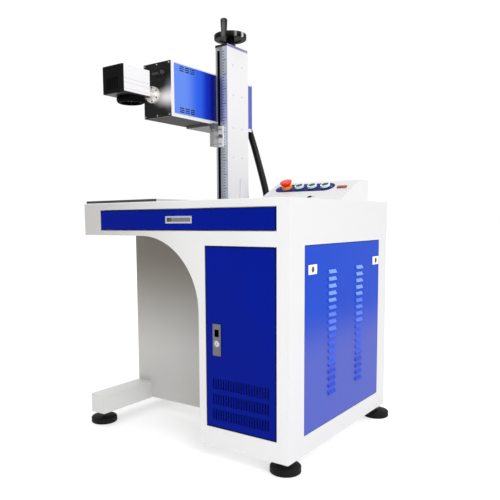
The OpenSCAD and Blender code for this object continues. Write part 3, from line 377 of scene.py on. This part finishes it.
BRIGHT = enamel("machined", (0.95, 0.94, 0.93), (0.88, 0.87, 0.86), rough=0.3, metal=0.5,
                bump=0.05, stretch=(1, 1, 8), grain=500)
SLIDE = enamel("slide_alloy", grey(0.96), grey(0.92), rough=0.3, metal=0.5, bump=0.05,
               stretch=(1, 1, 8), grain=500)
BLACKPLATE = enamel("black_anodised", (0.13, 0.125, 0.125), (0.09, 0.085, 0.085), rough=0.34,
                    metal=0.4, bump=0.08, stretch=(1, 1, 0.04), grain=1600, specular=0.3)
BRASS = enamel("dark_brass", (0.42, 0.38, 0.22), (0.34, 0.30, 0.18), metal=0.8)
KNOB = enamel("knob_grey", (0.40, 0.38, 0.38), (0.33, 0.31, 0.31), metal=0.7)
CHROME = enamel("chrome", (0.74, 0.73, 0.74), (0.66, 0.65, 0.66), rough=0.2, metal=1.0, bump=0.0)
PULL = enamel("pull_chrome", (0.92, 0.92, 0.94), (0.86, 0.86, 0.88), rough=0.2, metal=1.0,
              bump=0.0)
LOCK = enamel("lock_metal", (0.47, 0.47, 0.49), (0.41, 0.41, 0.43), rough=0.28, metal=1.0,
              bump=0.0)
SCREW = enamel("screw_steel", grey(0.80), grey(0.70), rough=0.25, metal=1.0)
SCREW_WHITE = enamel("screw_white", (0.78, 0.78, 0.80), (0.72, 0.72, 0.75), rough=0.4)

# Plastic, rubber and glass
RUBBER = enamel("foot_rubber", grey(0.07), grey(0.045), rough=0.6, bump=0.3, grain=1400,
                specular=0.15)
BADGE = enamel("badge_film", (0.07, 0.09, 0.46), (0.05, 0.07, 0.40), rough=0.3, specular=0.03)
RING = enamel("switch_ring", (0.92, 0.97, 0.98), (0.88, 0.95, 0.96), rough=0.22)
INSERT = enamel("insert_dark", grey(0.10), grey(0.07), rough=0.3)
COVER = enamel("cover_black", grey(0.085), grey(0.06), rough=0.4, specular=0.04)
LENSBLACK = enamel("lens_black", (0.04, 0.04, 0.045), (0.025, 0.025, 0.03), rough=0.6,
                   specular=0.02)
GLASS = enamel("lens_coating", (0.12, 0.15, 0.22), (0.09, 0.12, 0.19), rough=0.08,
               rough_span=0.01, transmission=0.8, bump=0.0, specular=0.3)
MIRROR = enamel("mirror_coat", (0.93, 0.95, 0.95), (0.90, 0.92, 0.93), rough=0.06,
                rough_span=0.01, metal=1.0, bump=0.0)
PLASTIC = enamel("black_plastic", grey(0.09), grey(0.06), rough=0.4, bump=0.1, specular=0.3)
WHEEL = enamel("wheel_black", grey(0.06), grey(0.04), specular=0.03)
HOSE = enamel("hose_rubber", grey(0.045), grey(0.03), rough=0.42, bump=0.05, specular=0.2)
RED = enamel("stop_red", (0.93, 0.26, 0.14), (0.90, 0.21, 0.11), specular=0.25)
GREEN = enamel("button_green", (0.02, 0.28, 0.26), (0.01, 0.23, 0.21), rough=0.3, specular=0.12)

NODE_MATERIALS = {
    "front_fascia": SHADED_FRONT, "table_top": WHITE, "pedestal_shell": WHITE,
    "pedestal_side_frame": WHITE, "leg_panel": KNEE_SHADED, "foot_beam": BEAM, "foot_pads": RUBBER,
    "foot_studs": STEEL, "work_plate": PLATE, "console_housing": WHITE, "console_badge": BADGE,
    "switch_bodies": RING, "console_inserts": INSERT, "column_foot": FOOT,
    "column_body": COLUMN, "column_side_cover": CASE, "ruler_strip": RULER, "column_cap": CAP,
    "guide_rods": STEEL, "drawer_runners": STEEL, "laser_source": DARK,
    "control_computer": DARK, "door_hinges": STEEL, "table_gland": PLASTIC,
    "slide_block": ALLOY, "slide_plate": SLIDE, "shelf_bracket": BRACKET, "laser_case": CASE,
    "laser_front_plate": BLACKPLATE, "laser_rear_plate": BLACKPLATE,
    "laser_side_panels": BOX_BLUE, "beam_tube": BRIGHT, "galvo_housing": HEAD,
    "galvo_front_cover": COVER, "galvo_base_plate": DARK, "lens_barrel": LENSBLACK,
    "lens_glass": GLASS, "galvo_motors": ALLOY, "isolator": ALLOY, "box_gland": PLASTIC,
    "drawer_front": BLUE, "drawer_tray": ALLOY, "drawer_pull": PULL, "door_panel": BLUE,
    "door_lock_plate": LOCK, "door_lock_barrel": STEEL, "side_panel": LIT_SIDE_BLUE,
    "side_latch_front": BRASS, "side_latch_rear": PLASTIC, "handwheel": WHEEL,
    "wheel_grip": WHEEL, "lead_screw": STEEL, "clamp_knob": KNOB, "estop_button": RED,
    "green_button_1": GREEN, "green_button_2": GREEN, "green_button_3": GREEN,
    "scan_mirror_x": MIRROR, "scan_mirror_y": MIRROR, "hose": HOSE,
}

# Painted shade in insides and recesses: material, node, tone, and how far from the node's lowest
# and highest corners the tone starts and ends
RECESS_SHADE = (
    # painted shade inside the pedestal, seen through the door's slots
    (WHITE, "pedestal_shell", (0.20, 0.20, 0.21), (1, 1, 1), (0.5, -1, 0.5)),
    (CASE, "laser_case", (0.10, 0.10, 0.14), (3, 3, 3), (-3, -3, -3)),
    (COLUMN, "column_body", grey(0.05), (4, 0.3, 4), (-4, -4, -4)),
    (PULL, "drawer_pull", (0.60, 0.60, 0.62), (2, 1.5, 2), (-9, 1, -2)),
    (LOCK, "door_lock_plate", grey(0.03), (2, 1.2, 2), (-2, 1, -2)),
)

# Paint inside a box: material, tone, lowest and highest corner. They are the side panel's two
# latch plates, the stop's amber collar, the red display, and painted highlight on what stands
# proud of the front plate.
PATCHES = (
    (LIT_SIDE_BLUE, (0.94, 0.94, 0.92), at(770.05, 104, 532), at(773, 152, 560)),
    (LIT_SIDE_BLUE, (0.94, 0.94, 0.92), at(770.05, 537, 532), at(773, 585, 560)),
    (RING, (0.98, 0.62, 0.20), at(505, 300, 700), at(559, 480, 830)),
    (INSERT, (0.62, 0.22, 0.23), at(700, 300, 700), at(770, 480, 830)),
    # painted highlight: a lighter tone on the knob and the bar on the laser box's front plate
    (BLACKPLATE, (0.30, 0.30, 0.31), at(60, 150, 1000), at(1385, 199.7, 2000)),
)

# Painted light and shade along an axis: material, tone, axis, start, end, and the node from whose
# lowest corner these count, or nothing where they count from the desk's corner on the floor
SHADING_FADES = (
    # painted shade: the front darker towards its left end; painted light: lighter at its right end
    # and foot
    (SHADED_FRONT, (0.735, 0.73, 0.72), X, 500, 0, None),
    (SHADED_FRONT, grey(0.885), X, 580, 740, None),
    (SHADED_FRONT, grey(0.885), Z, 190, 40, None),
    # painted shade: the knee panel darker towards its top, under the desk
    (KNEE_SHADED, (0.485, 0.465, 0.425), Z, 200, 600, None),
    # painted light: the handwheel's rim lighter on its side than underneath
    (WHEEL, grey(0.15), Z, 17, 34, "handwheel"),
    # the column's alloy darker away from its left edge; the shelf bracket lighter towards its foot
    (COLUMN, (0.71, 0.71, 0.74), X, 2, 20, "column_body"),
    (BRACKET, grey(0.62), Z, 66, 40, "slide_plate"),
    # painted reflection of the floor: the side panel paler towards its foot
    (LIT_SIDE_BLUE, (0.29, 0.34, 0.68), Z, 440, 280, None),
    # painted shade and reflection: the laser box's side panel darker near the column, paler behind
    # it
    (BOX_BLUE, (0.13, 0.33, 0.81), Y, 270, 345, None),
    (BOX_BLUE, (0.01, 0.13, 0.66), Y, 345, 395, None),
    (BOX_BLUE, (0.0, 0.05, 0.42), Y, 395, 425, None),
    (BOX_BLUE, (0.34, 0.38, 0.68), Y, 570, 620, None),
)

# Painted light on the louvres, which stand proud of the side panel, from its lowest band to its
# highest: bottom, top and tone
LOUVRE_FRONT, LOUVRE_REAR = 150, 500
LOUVRE_PROUD = (1, 10)
LOUVRE_HIGHLIGHTS = (
    (170, 262, (0.17, 0.27, 0.78)), (262, 355, (0.22, 0.35, 0.83)),
    (355, 448, (0.32, 0.46, 0.88)), (448, 541, (0.44, 0.58, 0.92)),
)

# Painted shade on outermost faces to the right, the rear and the top: material, node, tone, axis
SHADED_FACES = (
    (CASE, "column_side_cover", (0.835, 0.835, 0.84), X),
    (CASE, "laser_case", (0.835, 0.835, 0.84), X),
    (HEAD, "galvo_housing", (0.835, 0.835, 0.84), X),
    (WHITE, "table_top", (0.78, 0.78, 0.785), Z),
    (WHITE, "table_top", grey(0.80), Y),
    (WHITE, "pedestal_shell", grey(0.79), Y),
    (CASE, "laser_case", grey(0.80), Z),
    (HEAD, "galvo_housing", grey(0.82), Z),
    (WHITE, "pedestal_side_frame", (0.80, 0.80, 0.803), X),
    (WHITE, "table_top", (0.80, 0.80, 0.803), X),
    (SHADED_FRONT, "front_fascia", (0.80, 0.80, 0.803), X),
    # a lavender tone on the column cap's right face
    (CAP, "column_cap", (0.50, 0.46, 0.66), X),
)

# Painted shade: a dark rim round the edges of the door and the drawer front, and its width
EDGE_SHADE_TONE = (0.02, 0.03, 0.20)
EDGE_SHADE_WIDTH = 2.2
# Painted shade: the console's housing a little darker than the other white paint
CONSOLE_SHADE_TONE = (0.81, 0.81, 0.812)
# Painted shade on the work plate's front edge
PLATE_EDGE_SHADE = (0.34, 0.34, 0.35)
# Painted shade under the laser box
CASE_UNDERSIDE_SHADE = (0.20, 0.18, 0.18)
SEAM_TONE = (0.80, 0.75, 0.77)
SEAM_HEIGHTS = (0.08, 0.30, 0.46)  # shares of the scan head's height
SEAM_WIDTH = 2.5

# Highlights on the handwheel's rim: tone, place from the wheel's middle, reach and strength
RIM_UP = 25
RIM_SQUEEZE = (1, 1, 0.15)
RIM_SHEEN = (
    (0.42, (10, -58, 0), 14, 0.8), (0.80, (58.2, -6.1, 0), 9, 0.9),
    (0.52, (47.8, -33.7, 0), 8, 0.9),
)

# The painted sheen of reflected light on the laser box's front plate: tone, place from the
# beam tube's rear end, reach, squeeze and strength
PLATE_SHEEN = (
    ((0.62, 0.62, 0.66), (74, 0, -6), 62, (1.5, 1, 0.85), 0.7),
    ((0.93, 0.92, 0.92), (66, 0, -12), 42, (0.48, 1, 1), 0.95),
)


def dress_nodes():
    for name, material in NODE_MATERIALS.items():
        mesh = NODES[name].data
        mesh.materials.clear()
        mesh.materials.append(material)


def paint_zones():
    """Paint, print, painted light and painted shade that cover only part of a node. A later one
    lies over an earlier one.
    """
    # painted shade in insides and recesses
    for material, node, tone, low_in, high_in in RECESS_SHADE:
        low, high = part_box(node)
        zone(material, tone, low + mm(*low_in), high + mm(*high_in))
    for material, tone, low, high in PATCHES:
        zone(material, tone, low, high)
    # painted light and shade along an axis
    for material, tone, axis, start, end, node in SHADING_FADES:
        fade(material, tone, axis, start, end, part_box(node)[0] if node else at(0, 0, 0))
    # painted light on the louvres
    for bottom, top, tone in LOUVRE_HIGHLIGHTS:
        zone(LIT_SIDE_BLUE, tone, at(DESK_WIDTH + LOUVRE_PROUD[0], LOUVRE_FRONT, bottom),
             at(DESK_WIDTH + LOUVRE_PROUD[1], LOUVRE_REAR, top))
    # painted shade on the work plate's front edge
    face(PLATE, "work_plate", PLATE_EDGE_SHADE, Y, far=False, deep=1)
    # painted shade under the laser box
    face(CASE, "laser_case", CASE_UNDERSIDE_SHADE, Z, far=False)
    # painted shade on outermost faces
    for material, node, tone, axis in SHADED_FACES:
        face(material, node, tone, axis)
    # painted shade round the edges of the door and the drawer front
    for node in ("door_panel", "drawer_front"):
        for axis in (X, Z):
            for far in (False, True):
                face(BLUE, node, EDGE_SHADE_TONE, axis, far, EDGE_SHADE_WIDTH)
    # painted shade on the console's housing
    low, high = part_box("console_housing")
    zone(WHITE, CONSOLE_SHADE_TONE, low - mm(0, 0, 1), high + mm(1, 1, 1))
    low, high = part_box("galvo_housing")
    for share in SEAM_HEIGHTS:
        z = low.z + share * (high.z - low.z)
        zone(HEAD, SEAM_TONE, (high.x - MM, low.y, z), (high.x + MM, high.y, z + SEAM_WIDTH * MM))


def paint_sheen():
    """Painted highlights on the handwheel's rim and painted sheen on the laser box's front plate.
    """
    rim = centre_of("handwheel")
    rim.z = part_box("handwheel")[0].z + RIM_UP * MM
    for tone, place, reach, strength in RIM_SHEEN:
        glow(WHEEL, grey(tone), rim + mm(*place), reach, RIM_SQUEEZE, strength)
    tube = centre_of("beam_tube")
    tube.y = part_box("beam_tube")[1].y
    for tone, place, reach, squeeze, strength in PLATE_SHEEN:
        glow(BLACKPLATE, tone, tube + mm(*place), reach, squeeze, strength)


dress_nodes()
paint_zones()
paint_sheen()


# Piece builders

SHARP_FROM = 35  # degrees
SCREW_SIDES = 20
SCREW_SUNK = 0.2


def piece(name, bm, material, body, smooth=None):
    """A new object from a bmesh, riding on a body where one is named. Where smooth is given, the
    faces are smooth but for edges sharper than that angle in degrees."""
    bmesh.ops.recalc_face_normals(bm, faces=bm.faces)
    mesh = bpy.data.meshes.new(name)
    bm.to_mesh(mesh)
    bm.free()
    obj = bpy.data.objects.new(name, mesh)
    bpy.context.collection.objects.link(obj)
    mesh.materials.append(material)
    if smooth is not None:
        mesh.shade_smooth()
        mesh.set_sharp_from_angle(angle=math.radians(smooth))
    if body:
        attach(obj, body)
    return obj


def add_ring(bm, centre, side, other, radius, turns):
    """A ring of points round a centre, in the plane of two unit vectors."""
    turn = [2 * math.pi * k / turns for k in range(turns)]
    return [bm.verts.new(centre + (side * math.cos(a) + other * math.sin(a)) * radius * MM)
            for a in turn]


def add_lathe(bm, profile, origin, axis, turns):
    """Turns a profile of (radius, height) about an axis."""
    axis = Vector(axis).normalized()
    side = axis.orthogonal().normalized()
    other = axis.cross(side)
    rings = []
    for radius, height in profile:
        base = origin + axis * (height * MM)
        rings.append(add_ring(bm, base, side, other, radius, turns) if radius
                     else [bm.verts.new(base)])
    for a, b in zip(rings, rings[1:]):
        for k in range(turns):
            j = (k + 1) % turns
            if len(a) == 1:
                bm.faces.new((a[0], b[k], b[j]))
            elif len(b) == 1:
                bm.faces.new((a[k], b[0], a[j]))
            else:
                bm.faces.new((a[k], b[k], b[j], a[j]))


def add_box(bm, low, high):
    """A box between two corners in metres."""
    corners = [bm.verts.new((x, y, z)) for x in (low[0], high[0]) for y in (low[1], high[1])
               for z in (low[2], high[2])]
    for f in ((0, 1, 3, 2), (4, 6, 7, 5), (0, 4, 5, 1), (2, 3, 7, 6), (0, 2, 6, 4), (1, 5, 7, 3)):
        bm.faces.new([corners[i] for i in f])


def turned_piece(name, profiles, axis, turns, material, body):
    """One piece of turned parts, each a profile and the place where it stands."""
    bm = bmesh.new()
    for profile, place in profiles:
        add_lathe(bm, profile, place, axis, turns)
    return piece(name, bm, material, body, smooth=SHARP_FROM)


# A pan head with a round edge and a socket, in shares of its radius and its height
PAN_HEAD = ((1, 0.45), (0.93, 0.75), (0.8, 0.95), (0.62, 1), (0.5, 1), (0.46, 0.35), (0, 0.35))


def screws(name, places, axis, head, material, body):
    """Pan heads of one size, a radius and a height, sunk a little into what they hold."""
    radius, height = head
    profile = [(0, -SCREW_SUNK), (radius, -SCREW_SUNK)]
    profile += [(radius * r, height * h) for r, h in PAN_HEAD]
    turned_piece(name, [(profile, place) for place in places], axis, SCREW_SIDES, material, body)


# Screws and small trim, placed on the boxes of the nodes that carry them

# Screw heads: radius and height
COLUMN_COVER_HEAD = (3.2, 1.2)
SLIDE_HEAD = (3.2, 2.0)
BRACKET_HEAD = (2.4, 1.6)
BOX_HEAD = (3.0, 1.8)
FLANGE_HEAD = (2.6, 1.6)
SCAN_COVER_HEAD = (1.9, 0.8)
BADGE_HEAD = (2.2, 0.9)

# Where the screws sit, from the edges of what they hold
COVER_SCREW_HEIGHTS = (1233, 1129, 1014, 909)  # from the floor
COVER_SCREW_FRONT, COVER_SCREW_REAR = 35, 41
SLIDE_SCREW_LEFT, SLIDE_SCREW_RIGHT = 23, 6
SLIDE_SCREW_LOW, SLIDE_SCREW_HIGH = 10, 12
BRACKET_LEG_LEFT = 2
BRACKET_SCREWS_ACROSS, BRACKET_SCREWS_UP = (5, 14), (12, 58)
BOX_SCREW_INSET = 6
SCAN_COVER_SCREW_INSET = 5
BADGE_SCREW_INSET = 9


def corner_places(node, y, inset):
    low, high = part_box(node)
    return [Vector((x, y, z)) for x in (low.x + inset * MM, high.x - inset * MM)
            for z in (low.z + inset * MM, high.z - inset * MM)]


def add_column_trim():
    low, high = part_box("column_side_cover")
    places = [Vector((high.x, y, z * MM)) for z in COVER_SCREW_HEIGHTS
              for y in (low.y + COVER_SCREW_FRONT * MM, high.y - COVER_SCREW_REAR * MM)]
    screws("column_cover_screws", places, (1, 0, 0), COLUMN_COVER_HEAD, SCREW_WHITE, "desk")
    low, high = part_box("slide_plate")
    places = [Vector((x, low.y, z))
              for x in (low.x + SLIDE_SCREW_LEFT * MM, high.x - SLIDE_SCREW_RIGHT * MM)
              for z in (low.z + SLIDE_SCREW_LOW * MM, high.z - SLIDE_SCREW_HIGH * MM)]
    screws("slide_plate_screws", places, (0, -1, 0), SLIDE_HEAD, CHROME, "carriage")
    leg = low.x - BRACKET_LEG_LEFT * MM
    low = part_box("shelf_bracket")[0]
    places = [Vector((leg + x * MM, low.y, low.z + z * MM))
              for x in BRACKET_SCREWS_ACROSS for z in BRACKET_SCREWS_UP]
    screws("bracket_screws", places, (0, -1, 0), BRACKET_HEAD, SCREW, "carriage")


MARK_PITCH = 10
MARK_LENGTH, LONG_MARK_LENGTH = 7, 9.5
MARK_WIDTH = 2.6
MARK_INSET = 0.5
MARK_PROUD, MARK_SUNK = 0.12, 0.2
MARKS_PER_NUMBER = 5
NUMBER_SIZE = 5.5
NUMBER_INSET = 10.5
NUMBER_PROUD, NUMBER_DEPTH = 0.05, 0.1


def add_ruler_marks():
    """Centimetre marks down the left edge of the ruler, longer at every fifth, with numbers."""
    low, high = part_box("ruler_strip")
    bm = bmesh.new()
    count = int((high.z - low.z) / (MARK_PITCH * MM))
    for i in range(1, count):
        length = MARK_LENGTH if i % MARKS_PER_NUMBER else LONG_MARK_LENGTH
        z = low.z + i * MARK_PITCH * MM
        half = MARK_WIDTH * MM / 2
        add_box(bm, (low.x + MARK_INSET * MM, low.y - MARK_PROUD * MM, z - half),
                (low.x + (MARK_INSET + length) * MM, low.y + MARK_SUNK * MM, z + half))
    piece("ruler_marks", bm, INK, "desk")
    for i in range(MARKS_PER_NUMBER, count, MARKS_PER_NUMBER):
        data = bpy.data.curves.new("ruler_number_%02d" % i, "FONT")
        data.body = str(i)
        data.size = NUMBER_SIZE * MM
        data.extrude = NUMBER_DEPTH * MM
        data.align_x = "LEFT"
        data.align_y = "CENTER"
        number = bpy.data.objects.new("ruler_number_%02d" % i, data)
        number.location = low + mm(NUMBER_INSET, -NUMBER_PROUD, i * MARK_PITCH)
        number.rotation_euler = (math.radians(90), 0, 0)
        bpy.context.collection.objects.link(number)
        data.materials.append(INK)
        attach(number, "desk")


BOX_FRONT = 200  # the front plate's face, from the desk's front
FLANGE_BACK = 10
FLANGE_SCREW_RADIUS = 22.5
FLANGE_SCREWS = 6
FIRST_FLANGE_SCREW = 30  # degrees


def add_box_trim():
    edge = BOX_SCREW_INSET * MM
    low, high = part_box("laser_front_plate")
    front_y = at(0, BOX_FRONT, 0).y
    places = corner_places("laser_front_plate", front_y, BOX_SCREW_INSET)
    places += [Vector(((low.x + high.x) / 2, front_y, z)) for z in (low.z + edge, high.z - edge)]
    screws("front_plate_screws", places, (0, -1, 0), BOX_HEAD, SCREW, "carriage")
    low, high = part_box("laser_rear_plate")
    places = corner_places("laser_rear_plate", high.y, BOX_SCREW_INSET)
    places += [Vector((x, high.y, (low.z + high.z) / 2)) for x in (low.x + edge, high.x - edge)]
    screws("rear_plate_screws", places, (0, 1, 0), BOX_HEAD, SCREW, "carriage")
    flange = centre_of("beam_tube")
    flange.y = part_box("beam_tube")[1].y - FLANGE_BACK * MM
    turns = [math.radians(FIRST_FLANGE_SCREW + k * 360 / FLANGE_SCREWS)
             for k in range(FLANGE_SCREWS)]
    places = [flange + Vector((math.cos(a), 0, math.sin(a))) * FLANGE_SCREW_RADIUS * MM
              for a in turns]
    screws("beam_flange_screws", places, (0, -1, 0), FLANGE_HEAD, PLASTIC, "carriage")


# The lens's grip rings: their heights on the barrel, and one ring's profile from the barrel's
# surface and its height
GRIP_HEIGHTS = (9, 12, 15)
GRIP_PROFILE = ((-0.6, 0), (0.35, 0.4), (0.35, 1.2), (-0.6, 1.6))
GRIP_SIDES = 72


def add_head_trim():
    front_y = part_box("galvo_front_cover")[0].y
    places = corner_places("galvo_front_cover", front_y, SCAN_COVER_SCREW_INSET)
    screws("head_cover_screws", places, (0, -1, 0), SCAN_COVER_HEAD, DARK, "carriage")
    low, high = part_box("lens_barrel")
    foot = centre_of("lens_barrel")
    foot.z = low.z
    radius = (high.x - low.x) / 2 / MM
    rings = [([(radius + r, height + h) for r, h in GRIP_PROFILE], foot)
             for height in GRIP_HEIGHTS]
    turned_piece("lens_grip_rings", rings, (0, 0, 1), GRIP_SIDES, LENSBLACK, "carriage")


# The console's slope: its rise, its run and where it starts from the desk's front, then how far
# up it the controls and the port's lamp sit
SLOPE_RISE, SLOPE_RUN = 64, 133
SLOPE_START = 299
CONTROLS_UP = 101
LAMP_LEFT, LAMP_UP = 667, 29
BADGE_THICK = 1.5
GASKET = [(15.2, 1.4), (18.0, 1.4), (18.0, 2.6), (17.0, 3.2), (15.2, 3.2)]
GASKET_SIDES = 40
PORT_LAMP = [(2.0, -0.2), (2.0, 0.4), (1.5, 0.7), (0, 0.7)]


def add_console_trim():
    lean = math.atan2(SLOPE_RISE, SLOPE_RUN)
    normal = Vector((0, -math.sin(lean), math.cos(lean)))
    along = Vector((0, math.cos(lean), math.sin(lean)))

    def on_slope(x, up):
        """A place on the slope, from its x in the frame and its way up the slope."""
        start = at(0, SLOPE_START, DESK_TOP)
        start.x = x
        return start + along * up * MM

    low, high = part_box("console_badge")
    edge = BADGE_SCREW_INSET * MM
    places = [on_slope(x, CONTROLS_UP) + normal * BADGE_THICK * MM
              for x in (low.x + edge, high.x - edge)]
    screws("badge_screws", places, normal, BADGE_HEAD, SCREW, "desk")
    gaskets = [(GASKET, on_slope(centre_of(node).x, CONTROLS_UP))
               for node in ("green_button_1", "green_button_2", "green_button_3")]
    turned_piece("button_gaskets", gaskets, normal, GASKET_SIDES, PLASTIC, "desk")
    lamp = [(PORT_LAMP, on_slope(at(LAMP_LEFT, 0, 0).x, LAMP_UP))]
    turned_piece("port_lamp", lamp, normal, SCREW_SIDES, PLASTIC, "desk")


LOCK_UP = 35
COLLAR = [(7.7, -0.2), (9.6, -0.2), (9.6, 0.6), (9.0, 1.0), (7.7, 1.0)]
COLLAR_SIDES = 36


def add_door_trim():
    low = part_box("door_lock_plate")[0]
    place = Vector((centre_of("door_lock_plate").x, low.y, low.z + LOCK_UP * MM))
    turned_piece("lock_collar", [(COLLAR, place)], (0, -1, 0), COLLAR_SIDES, STEEL, "door")


# The hose between the laser box and the desk, with the same route as in the CAD source: from the
# desk's left side, its rear face and its top
HOSE_ROUTE = [
    (171, 34.5, 368), (171, 34.5, 358), (172, 34.5, 342), (175.4, 34.5, 322), (181, 34.5, 302),
    (188.2, 34.3, 282), (196.6, 32.5, 262), (208.3, 27.7, 237), (220.8, 21, 212),
    (233.8, 12.9, 187), (247.1, 4.2, 162), (260.3, -4.4, 137), (272.8, -12.2, 112),
    (284.2, -18.6, 87), (293.7, -22.6, 62), (297.9, -23.6, 47), (300.2, -23.9, 34),
    (301, -24, 22),
]
HOSE_D = 25
HOSE_SIDES = 24
HOSE_SHARP_FROM = 60  # degrees
STEPS_PER_POINT = 5


def smooth_route(points, steps):
    """Points on a smooth curve through the given ones."""
    out = []
    last = len(points) - 1
    for i in range(last):
        a, b, c, d = (points[max(0, min(last, i + k))] for k in (-1, 0, 1, 2))
        for s in range(steps):
            t = s / steps
            out.append(0.5 * (2 * b + (c - a) * t + (2 * a - 5 * b + 4 * c - d) * t * t
                              + (3 * b - a - 3 * c + d) * t ** 3))
    out.append(points[last])
    return out


def add_hose():
    points = [at(x, DESK_DEPTH + y, DESK_TOP + z) for x, y, z in HOSE_ROUTE]
    route = smooth_route(points, STEPS_PER_POINT)
    bm = bmesh.new()
    rings = []
    for i, point in enumerate(route):
        ahead = route[min(i + 1, len(route) - 1)] - route[max(i - 1, 0)]
        across = ahead.cross(Vector((0, 1, 0))).normalized()
        other = ahead.cross(across).normalized()
        rings.append(add_ring(bm, point, across, other, HOSE_D / 2, HOSE_SIDES))
    for a, b in zip(rings, rings[1:]):
        for k in range(HOSE_SIDES):
            j = (k + 1) % HOSE_SIDES
            bm.faces.new((a[k], a[j], b[j], b[k]))
    bm.faces.new(rings[0])
    bm.faces.new(rings[-1])
    hose = piece("hose_tube", bm, HOSE, None, smooth=HOSE_SHARP_FROM)
    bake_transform(hose)
    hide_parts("hose")


add_hose()
add_column_trim()
add_ruler_marks()
add_box_trim()
add_head_trim()
add_console_trim()
add_door_trim()
